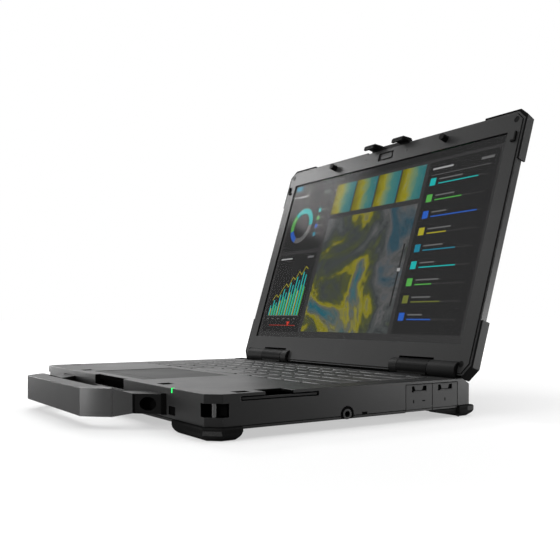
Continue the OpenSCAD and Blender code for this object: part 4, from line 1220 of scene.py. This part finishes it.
# Relief on the lid's back: depths, field, badge place, side plates, screws and ribs
LID_BACK = -4.9
FIELD_TOP = LID_BACK - 0.9
FIELD_X = 122.0
FIELD_S = (22.0, 190.0)
BADGE_X, BADGE_S = (-32, 32), (74, 138)
WING_X, WING_S = (131.0, 158.0), (62, 150)
BACK_SCREW_X, BACK_SCREW_S = (-112, 112), (32, 180)
RIB_X, RIB_S = (44.0, 106.0), (38, 44)
RIB_PITCH = 14.0
RIB_COUNT = 10


def draw_lid():
    def under_lid(point):
        x, s = abs(point.x) / MM, (point - HINGE).dot(UP_LID) / MM
        return s < LID_FOOT or (NOTCH_X[0] < x < NOTCH_X[1] and s < NOTCH_S)

    # The lid's underside and the notches for the hinges are painted shade
    dress("lid_shell", "lid_paint", 0.4, tints=(("dark_pocket", under_lid),))
    dress("screen_bezel", "bezel", 0.25, tints=(("dark_pocket", under_lid),))
    dress("lid_screws", "hinge_paint", 0.15)
    dress("lid_locators", "black_moulding", 0.25)
    dress("camera_shutter", "bezel", 0.2)
    dress("latch_hooks", "hinge_paint", 0.4)
    dress("latch_pin", "turned_steel", 0.15)
    lid_relief()


def raised_plate(bm, x, s, cut, low, high, slope):
    """Low plate on the lid's back with sloping sides, from depth low to depth high."""
    low_plate(bm, at_lid, x, s, cut, (low + 0.4, low, high), slope, 0.4)


def lid_relief():
    """Raised field, ribs and corner screws on the back of the lid, and a bare badge place."""
    bm = bmesh.new()
    raised_plate(bm, (-FIELD_X, FIELD_X), FIELD_S, 14, LID_BACK, FIELD_TOP, 1.4)
    raised_plate(bm, BADGE_X, BADGE_S, 10, FIELD_TOP, FIELD_TOP - 0.5, 0.6)
    for side in (RIGHT, LEFT):
        raised_plate(bm, sorted(side * x for x in WING_X), WING_S, 6, LID_BACK,
                     LID_BACK - 0.7, 1.1)
    soften(bm, 0.2)
    piece("lid_field", bm, "lid", "lid_paint")
    for side, name in SIDES:
        bm = bmesh.new()
        raised_plate(bm, sorted(side * x for x in RIB_X), RIB_S, 2.2, FIELD_TOP,
                     FIELD_TOP - 0.7, 0.8)
        soften(bm, 0.15)
        grow_row("lid_ribs_" + name, mesh_of(bm, "rib"), "lid_paint", "lid", "case_metal",
                 RIB_COUNT, UP_LID * (RIB_PITCH * MM))
    screw_heads("lid_back_screws", "lid", lambda a, b, n: at_lid(a, b, FIELD_TOP - n),
                [(x, s) for x in BACK_SCREW_X for s in BACK_SCREW_S], 3.4, 0.5, 1.5, 24)


# Height of the bottom cover's outside, and of its hatches
UNDER = 6.5
HATCH_FOOT = UNDER - 0.7
# Span across, span front to back and cut corner of the hatch and the label's place
HATCHES = (((-66, 132), (0, 68), 6), ((-96, 96), (-84, -36), 8))
HATCH_SCREWS = ((-60, 8), (-60, 60), (126, 8), (126, 60), (33, 34))
# Bars across the air slots: how many, the guards' pitch and rows, and the vent's length
SLOTS = 9
GUARD_PITCH = 6
GUARD_ROWS = 5
GUARD_ROW_PITCH = 8.4
VENT_LENGTH = 56


def under_details():
    """Service hatch, bare label place and the guards across the air slots."""
    bm = bmesh.new()
    for x, y, cut in HATCHES:
        low_plate(bm, at_base, x, y, cut, (UNDER + 0.3, UNDER - 0.1, HATCH_FOOT), 0.8)
    soften(bm, 0.15)
    piece("under_hatches", bm, "base", "cover_paint")
    screw_heads("hatch_screws", "base", lambda a, b, n: at_base(a, b, HATCH_FOOT - n),
                HATCH_SCREWS, 2.9, 0.45, 1.2, 20)
    bm = bmesh.new()
    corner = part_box("fan_housing")[0]
    x, y = corner.x / MM + 6.55, (corner.y - MID) / MM + 13.9
    add_prism(bm, round_rect((x, x + 3.9), (y, y + 1.2), 0.5, 3), UNDER + 0.15, UNDER + 1.2,
              at_base)
    grow_row("slot_guards", mesh_of(bm, "guard"), "black_moulding", "base", "black_plastic",
             SLOTS, (GUARD_PITCH * MM, 0, 0), GUARD_ROWS, (0, GUARD_ROW_PITCH * MM, 0))
    bm = bmesh.new()
    x, y = corner.x / MM + 5.5, D - 3.4
    add_prism(bm, round_rect((x, x + 4.0), (15.6, 16.6), 0.4, 3), -1.6, 0.0,
              lambda a, b, level: at_base(a, y + level, b))
    grow_row("vent_bars", mesh_of(bm, "bar"), "black_moulding", "base", "black_plastic",
             SLOTS, (VENT_LENGTH / SLOTS * MM, 0, 0))


FAN_BLADES = 17
# Where a blade starts, how far it sweeps round in radians, and half its thickness in mm
BLADE_ROOT = 10.0
BLADE_SWEEP = 0.5
BLADE_HALF = 0.45
BLADE_STEPS = 7


def fan_blade_mesh(centre, reach):
    """One curved blade beside the hub, reaching out to a radius in mm."""
    low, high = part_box("fan_rotor")
    bm = bmesh.new()
    line = []
    for sign in (1, -1):
        for step in range(BLADE_STEPS + 1)[::sign]:
            share = step / BLADE_STEPS
            radius = BLADE_ROOT + (reach - BLADE_ROOT) * share
            turn = BLADE_SWEEP * share * share + sign * BLADE_HALF / radius
            line.append((radius * math.cos(turn), radius * math.sin(turn)))
    add_layers(bm, lambda a, b, z: centre + Vector((a * MM, b * MM, z * MM - centre.z)),
               [(line, low.z / MM + 0.5), (line, high.z / MM - 0.5)])
    return mesh_of(bm, "blade")


def draw_fan():
    low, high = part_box("fan_rotor")
    z0, z1 = low.z / MM, high.z / MM
    centre = Vector(JOINTS["fan_spin"]["pos_m"])
    blade = fan_blade_mesh(centre, (high.x - centre.x) / MM - 0.2)
    grow_ring("fan_blades", blade, "black_moulding", "rotor", "black_plastic", FAN_BLADES,
              centre, ("fan_rotor",))
    bm = bmesh.new()
    lathe(bm, lambda a, b, level: Vector((centre.x + a * MM, centre.y + b * MM, level * MM)),
          (0, 0), ((2.3, z0), (10.6, z0), (11, z0 + 0.4), (11, z1 - 0.9), (10.2, z1 - 0.1),
                   (3.6, z1), (2.4, z1 - 0.3)), 40)
    piece("fan_hub", bm, "rotor", "black_moulding")


# Parts that are sealed in keep their solids and take a finish
INSIDE = {
    "black_moulding": ("battery_pack", "fan_housing", "speakers"),
    "solder_mask": ("main_board", "ssd_module", "memory_module", "wireless_card",
                    "camera_module", "antennas"),
    "drawn_copper": ("heat_sink",),
}


def draw_inside():
    draw_fan()
    for finish, nodes in INSIDE.items():
        for node in nodes:
            materials = frame["nodes"][node].data.materials
            materials.clear()
            materials.append(finished(finish))


# ---------------------------------------------------------------- screen

PICTURE = (*PICTURE_TONES, "contour_field", "tile_blend")
SCREEN_X = W - 15.3
SCREEN_S = (20.5, 194.5)
PICTURE_N = 1.9
LAYER = 0.03
# Tops of the cards, under the bar along the screen's top
CARD_TOP = SCREEN_S[1] - 10
GAUGE_TONES = ("cool_bright",) * 14 + ("green",) * 6 + ("blue",) * 5 + ("screen_line",) * 11
GAUGE_RADII = (20, 14)
COLUMN_HEIGHTS = (11, 17, 14, 23, 29, 25, 36, 33, 42, 38, 47, 44)
LIST_ROWS = (("cool_bright", 0.8), ("green", 0.55), ("blue", 0.92), ("yellow", 0.4),
             ("cool_plain", 0.66), ("cool_bright", 0.74), ("green", 0.35), ("olive", 0.6),
             ("blue", 0.5))
# Tiles: how many, where the first starts from the left, their pitch, width and foot
TILES = 4
TILE_LEFT, TILE_PITCH, TILE_WIDE, TILE_FOOT = 82, 34.4, 32.6, 152


class Picture:
    """Flat coloured shapes on the panel, in thin layers."""

    def __init__(self):
        self.bm = bmesh.new()
        self.map = self.bm.loops.layers.uv.new("UVMap")

    def shape(self, outline, layer, finish):
        n = PICTURE_N + layer * LAYER
        faces = add_prism(self.bm, outline, n - LAYER, n, at_lid, PICTURE.index(finish))
        xs = [x for x, _ in outline]
        ys = [y for _, y in outline]
        wide, tall = max(xs) - min(xs), max(ys) - min(ys)
        for loop in faces[1].loops:
            spot = outline[faces[1].loops[:].index(loop)]
            loop[self.map].uv = ((spot[0] - min(xs)) / wide, (spot[1] - min(ys)) / tall)

    def box(self, x, s, layer, finish):
        self.shape([(x[0], s[0]), (x[1], s[0]), (x[1], s[1]), (x[0], s[1])], layer, finish)

    def lines(self, points, width, layer, finish):
        """A line of even width through points."""
        for (x0, s0), (x1, s1) in zip(points, points[1:]):
            length = math.hypot(x1 - x0, s1 - s0)
            dx, ds = -(s1 - s0) / length * width / 2, (x1 - x0) / length * width / 2
            self.shape([(x0 + dx, s0 + ds), (x0 - dx, s0 - ds), (x1 - dx, s1 - ds),
                        (x1 + dx, s1 + ds)], layer, finish)


def gauge_card(picture, mid_x, mid_s):
    """Ring of short arcs, and a key of four bars beside it."""
    outer, inner = GAUGE_RADII
    step = math.tau / len(GAUGE_TONES)
    for i, tone in enumerate(GAUGE_TONES):
        start, stop = step * i, step * (i + 0.8)
        ring = [(mid_x + r * math.cos(a), mid_s + r * math.sin(a))
                for r, a in ((outer, start), (outer, stop), (inner, stop), (inner, start))]
        picture.shape(ring, 2, tone)
    for i, tone in enumerate(("cool_bright", "green", "blue", "cool_plain")):
        s = mid_s + 13 - i * 9
        picture.box((mid_x + 27, mid_x + 31), (s, s + 4), 2, tone)
        picture.box((mid_x + 33, mid_x + 42 - i % 2 * 3), (s + 1.4, s + 2.6), 2,
                    "screen_line")


def column_card(picture, left, foot):
    """Pairs of columns under a rising line, and a slider."""
    for i, height in enumerate(COLUMN_HEIGHTS):
        low = left + i * 5
        picture.box((low, low + 1.7), (foot + 4, foot + 4 + height), 2, "cool_bright")
        picture.box((low + 2, low + 3.6), (foot + 4, foot + 4 + height * 0.7), 2,
                    "green" if i % 3 else "yellow")
    picture.lines([(left + 1.8 + i * 5, foot + 10 + height)
                   for i, height in enumerate(COLUMN_HEIGHTS)], 0.7, 3, "yellow")
    picture.lines([(left, foot + 3.4), (left + 60, foot + 3.4)], 0.5, 3, "screen_line")
    for i in range(6):
        picture.box((left + i * 10.4, left + 3 + i * 10.4), (foot - 0.4, foot + 0.6), 2,
                    "screen_line")
    picture.shape([(left + 44, foot - 8), (left + 47, foot - 3), (left + 41, foot - 3)], 3,
                  "red")
    picture.lines([(left + 8, foot - 7), (left + 58, foot - 7)], 0.4, 2, "red")


def list_card(picture, left, right):
    """Rows of a small square and two bars, under a heading."""
    picture.box((left, right), (27, CARD_TOP), 1, "screen_bar")
    picture.box((left + 5, left + 30), (177, 178.6), 2, "screen_text")
    picture.box((right - 20, right - 6), (176.8, 179), 2, "screen_line")
    for i, (tone, share) in enumerate(LIST_ROWS):
        s = 162 - i * 15.4
        picture.box((left + 5, left + 12), (s, s + 7), 2, tone)
        picture.box((left + 16, left + 44 - i % 3 * 5), (s + 4.6, s + 5.8), 2, "screen_line")
        picture.box((left + 16, right - 8), (s + 0.6, s + 1.6), 2, "screen_ground")
        reach = left + 16 + (right - left - 24) * share
        picture.box((left + 16, reach), (s + 0.6, s + 1.6), 3, tone)
    picture.box((left + 5, right - 8), (171.6, 172), 2, "screen_line")


def draw_screen():
    picture = Picture()
    x, s = SCREEN_X, SCREEN_S
    picture.box((-x, x), s, 0, "screen_ground")
    # bar along the top, with a lit tab and short strokes
    picture.box((-x, x), (s[1] - 7, s[1]), 1, "screen_bar")
    picture.box((-x + 2, -x + 13), (s[1] - 6.4, s[1] - 1.2), 2, "cool_plain")
    for i in range(7):
        picture.box((-x + 18 + i * 11, -x + 25 + i * 11), (s[1] - 4.4, s[1] - 3.4), 2,
                    "screen_line")
    # two cards at the left: a ring gauge over columns
    left, right = -x + 4, -x + 76
    for low, high in ((116, CARD_TOP), (26, 112)):
        picture.box((left, right), (low, high), 1, "screen_bar")
        picture.box((left + 4, left + 26), (high - 5.4, high - 3.8), 2, "screen_text")
        picture.box((right - 16, right - 5), (high - 5.6, high - 3.4), 2, "screen_line")
    gauge_card(picture, left + 27, 145)
    column_card(picture, left + 6, 40)
    # four tiles in a row over the contour field
    for i in range(TILES):
        low = -x + TILE_LEFT + i * TILE_PITCH
        picture.box((low, low + TILE_WIDE), (TILE_FOOT, CARD_TOP), 1, "tile_blend")
    picture.box((-x + TILE_LEFT, 63), (27, 147), 1, "contour_field")
    picture.box((57, 59), (52, 110), 2, "screen_bar")
    picture.box((56, 60), (84, 87), 3, "screen_text")
    list_card(picture, 68, x - 4)
    piece("picture", picture.bm, "lid", PICTURE, ("lcd_panel",), weigh=False)
    cover_glass()


def cover_glass():
    """Thin rounded sheet over the picture."""
    bm = bmesh.new()
    x, s = SCREEN_X + 1.6, (SCREEN_S[0] - 1.6, SCREEN_S[1] + 1.6)
    add_layers(bm, at_lid, [(round_rect((-x, x), s, 1.2, 3, inset), n)
                            for inset, n in ((0, 2.12), (0, 2.7), (0.25, 2.86))])
    piece("cover_sheet", bm, "lid", "cover_glass", ("display_glass",))


# ---------------------------------------------------------------- stage

# Kinds of ray that meet the floor and the world at full strength
SEEN_BY = ("Is Camera Ray", "Is Glossy Ray", "Is Transmission Ray")
FLOOR_REACH = 12.0
FLOOR_GLOW = 0.5
FLOOR_TONE = 0.5
FLOOR_FADE = (0.25, 1.0)
WORLD_LIGHT = 0.2
CAMERA_PLACE = (571.6, -319.9, 73.6)
CAMERA_AZIMUTH = 54.02
CAMERA_ELEVATION = 1.35
CAMERA_LENS = 49.22
CAMERA_SHIFT = (-0.1045, 0.0973)
# Name, place, target, size and power of each lamp
LAMPS = (
    ("overhead", (0, 0.1, 1.6), (0, 0, 0), (3.0, 3.0), 28),
    ("front_left", (-0.45, -0.19, 0.07), (-0.1, -0.13, 0.02), (0.1, 0.1), 0.5),
    ("front", (0.09, -0.85, 0.14), (0.08, -0.15, 0.02), (0.12, 0.3), 4.0),
    ("right_rear", (0.47, 0.41, 0.04), (0.17, 0.08, 0.02), (0.25, 0.05), 3.0),
    ("top_left", (-0.55, -0.02, 0.45), (-0.1, 0.16, 0.2), (0.15, 0.15), 2.0),
    ("back_left", (-1.05, 0.52, 0.24), (0.05, -0.05, 0.03), (0.55, 0.3), 0.35),
)


def seen(net):
    """1 for the rays that meet the floor and the world at full strength."""
    level, *others = [net.add("ShaderNodeLightPath", output=kind) for kind in SEEN_BY]
    for ray in others:
        level = net.math("MAXIMUM", level, ray)
    return level


def stage_floor():
    """A wide pale floor that keeps the shadow near the object and is white further out."""
    bm = bmesh.new()
    bmesh.ops.create_grid(bm, x_segments=2, y_segments=2, size=FLOOR_REACH)
    mesh = mesh_of(bm, "floor")
    material = bpy.data.materials.new("pale_floor")
    material.use_nodes = True
    net = Net(material.node_tree)
    net.tree.nodes.clear()
    where = net.add("ShaderNodeTexCoord", output="Object")
    distance = net.add("ShaderNodeVectorMath", {"operation": "LENGTH"}, {0: where}, "Value")
    away = distance.ramp(*FLOOR_FADE)
    matt = net.add("ShaderNodeBsdfDiffuse", None, {"Color": grey(FLOOR_TONE)}, "BSDF")
    level = seen(net) * (FLOOR_GLOW + away * (1 - FLOOR_GLOW))
    glow = net.add("ShaderNodeEmission", None, {"Color": grey(1.0), "Strength": level})
    end = net.tree.nodes.new("ShaderNodeOutputMaterial")
    skin = net.add("ShaderNodeAddShader", None, {0: matt, 1: glow})
    net.feed(end.inputs[0], skin)
    mesh.materials.append(material)
    set_in_scene("floor", mesh)


def stage_world():
    """White behind the object, and a moderate even light on it."""
    world = bpy.data.worlds.new("studio")
    world.use_nodes = True
    bpy.context.scene.world = world
    net = Net(world.node_tree)
    net.tree.nodes.clear()
    level = seen(net) * (1 - WORLD_LIGHT) + WORLD_LIGHT
    back = net.add("ShaderNodeBackground", None, {"Color": grey(1.0), "Strength": level})
    end = net.tree.nodes.new("ShaderNodeOutputWorld")
    net.feed(end.inputs[0], back)


def stage_lamp(name, place, target, size, power):
    """A soft rectangular lamp at a place, aimed at a target."""
    data = bpy.data.lights.new(name, "AREA")
    data.shape = "RECTANGLE"
    data.size, data.size_y = size
    data.energy = power
    lamp = bpy.data.objects.new(name, data)
    lamp.location = place
    lamp.rotation_euler = (Vector(target) - Vector(place)).to_track_quat("-Z", "Y").to_euler()
    lamp.visible_camera = False
    bpy.context.scene.collection.objects.link(lamp)


def stage_camera():
    turn = math.radians(CAMERA_AZIMUTH)
    rise = math.radians(CAMERA_ELEVATION)
    back = Vector((math.sin(turn) * math.cos(rise), -math.cos(turn) * math.cos(rise),
                   math.sin(rise)))
    across = Vector((math.cos(turn), math.sin(turn), 0))
    data = bpy.data.cameras.new("camera")
    data.lens = CAMERA_LENS
    data.sensor_width = 36
    data.shift_x, data.shift_y = CAMERA_SHIFT
    data.clip_start = 0.01
    camera = bpy.data.objects.new("camera", data)
    grid = Matrix((across, back.cross(across), back)).transposed().to_4x4()
    camera.matrix_world = Matrix.Translation(Vector(CAMERA_PLACE) * MM) @ grid
    bpy.context.scene.collection.objects.link(camera)
    bpy.context.scene.camera = camera


def draw_stage():
    bpy.context.scene.view_settings.view_transform = "Standard"
    stage_camera()
    stage_floor()
    stage_world()
    for lamp in LAMPS:
        stage_lamp(*lamp)


# ---------------------------------------------------------------- operators and panel

class NOTEBOOK_OT_case(bpy.types.Operator):
    """Housing, bottom cover and their screws"""

    bl_idname = "notebook.case"
    bl_label = "Case"

    def execute(self, context):
        draw_case()
        return {"FINISHED"}


class NOTEBOOK_OT_handle(bpy.types.Operator):
    """Handle in front of the case, with its bolts"""

    bl_idname = "notebook.handle"
    bl_label = "Carry handle"

    def execute(self, context):
        draw_handle()
        return {"FINISHED"}


class NOTEBOOK_OT_keys(bpy.types.Operator):
    """Tray, key caps and their digits"""

    bl_idname = "notebook.keys"
    bl_label = "Keyboard"

    def execute(self, context):
        draw_keys()
        return {"FINISHED"}


class NOTEBOOK_OT_touchpad(bpy.types.Operator):
    """Touchpad, its two buttons and the power button"""

    bl_idname = "notebook.touchpad"
    bl_label = "Touchpad"

    def execute(self, context):
        draw_touchpad()
        return {"FINISHED"}


class NOTEBOOK_OT_rubber(bpy.types.Operator):
    """Rubber on the corners of the case and the lid"""

    bl_idname = "notebook.rubber"
    bl_label = "Feet and bumpers"

    def execute(self, context):
        draw_rubber()
        return {"FINISHED"}


class NOTEBOOK_OT_ports(bpy.types.Operator):
    """Doors, sockets, strap posts and the status light"""

    bl_idname = "notebook.ports"
    bl_label = "Ports"

    def execute(self, context):
        draw_ports()
        return {"FINISHED"}


class NOTEBOOK_OT_hinges(bpy.types.Operator):
    """Brackets, covers and shafts"""

    bl_idname = "notebook.hinges"
    bl_label = "Hinges"

    def execute(self, context):
        draw_hinges()
        return {"FINISHED"}


class NOTEBOOK_OT_lid(bpy.types.Operator):
    """Shell, bezel, camera shutter, screws and latch"""

    bl_idname = "notebook.lid"
    bl_label = "Lid"

    def execute(self, context):
        draw_lid()
        return {"FINISHED"}


class NOTEBOOK_OT_screen(bpy.types.Operator):
    """Picture and cover glass"""

    bl_idname = "notebook.screen"
    bl_label = "Screen"

    def execute(self, context):
        draw_screen()
        return {"FINISHED"}


class NOTEBOOK_OT_inside(bpy.types.Operator):
    """Boards, battery, fan and what else is sealed in"""

    bl_idname = "notebook.inside"
    bl_label = "Inside"

    def execute(self, context):
        draw_inside()
        return {"FINISHED"}


class NOTEBOOK_OT_stage(bpy.types.Operator):
    """Floor, lamps, world and camera"""

    bl_idname = "notebook.stage"
    bl_label = "Stage"

    def execute(self, context):
        draw_stage()
        return {"FINISHED"}


OPERATORS = (
    NOTEBOOK_OT_case,
    NOTEBOOK_OT_handle,
    NOTEBOOK_OT_keys,
    NOTEBOOK_OT_touchpad,
    NOTEBOOK_OT_rubber,
    NOTEBOOK_OT_ports,
    NOTEBOOK_OT_hinges,
    NOTEBOOK_OT_lid,
    NOTEBOOK_OT_screen,
    NOTEBOOK_OT_inside,
    NOTEBOOK_OT_stage,
)


class NOTEBOOK_PT_pieces(bpy.types.Panel):
    """Lists the pieces of the notebook computer and its settings"""

    bl_idname = "NOTEBOOK_PT_pieces"
    bl_label = "Rugged notebook"
    bl_space_type = "VIEW_3D"
    bl_region_type = "UI"
    bl_category = "Notebook"

    def draw(self, context):
        column = self.layout.column()
        for group in (context.scene.notebook_finishes, context.scene.notebook_sizes):
            for key in group.bl_rna.properties.keys():
                if key not in ("rna_type", "name"):
                    column.prop(group, key)
        for item in OPERATORS:
            column.operator(item.bl_idname)


CLASSES = (NotebookFinishes, NotebookSizes, *OPERATORS, NOTEBOOK_PT_pieces)


def register():
    for item in CLASSES:
        bpy.utils.register_class(item)
    bpy.types.Scene.notebook_finishes = bpy.props.PointerProperty(type=NotebookFinishes)
    bpy.types.Scene.notebook_sizes = bpy.props.PointerProperty(type=NotebookSizes)


def unregister():
    del bpy.types.Scene.notebook_sizes
    del bpy.types.Scene.notebook_finishes
    for item in reversed(CLASSES):
        bpy.utils.unregister_class(item)


def main():
    register()
    for item in OPERATORS:
        family, name = item.bl_idname.split(".")
        getattr(getattr(bpy.ops, family), name)()


if __name__ == "__main__":
    main()
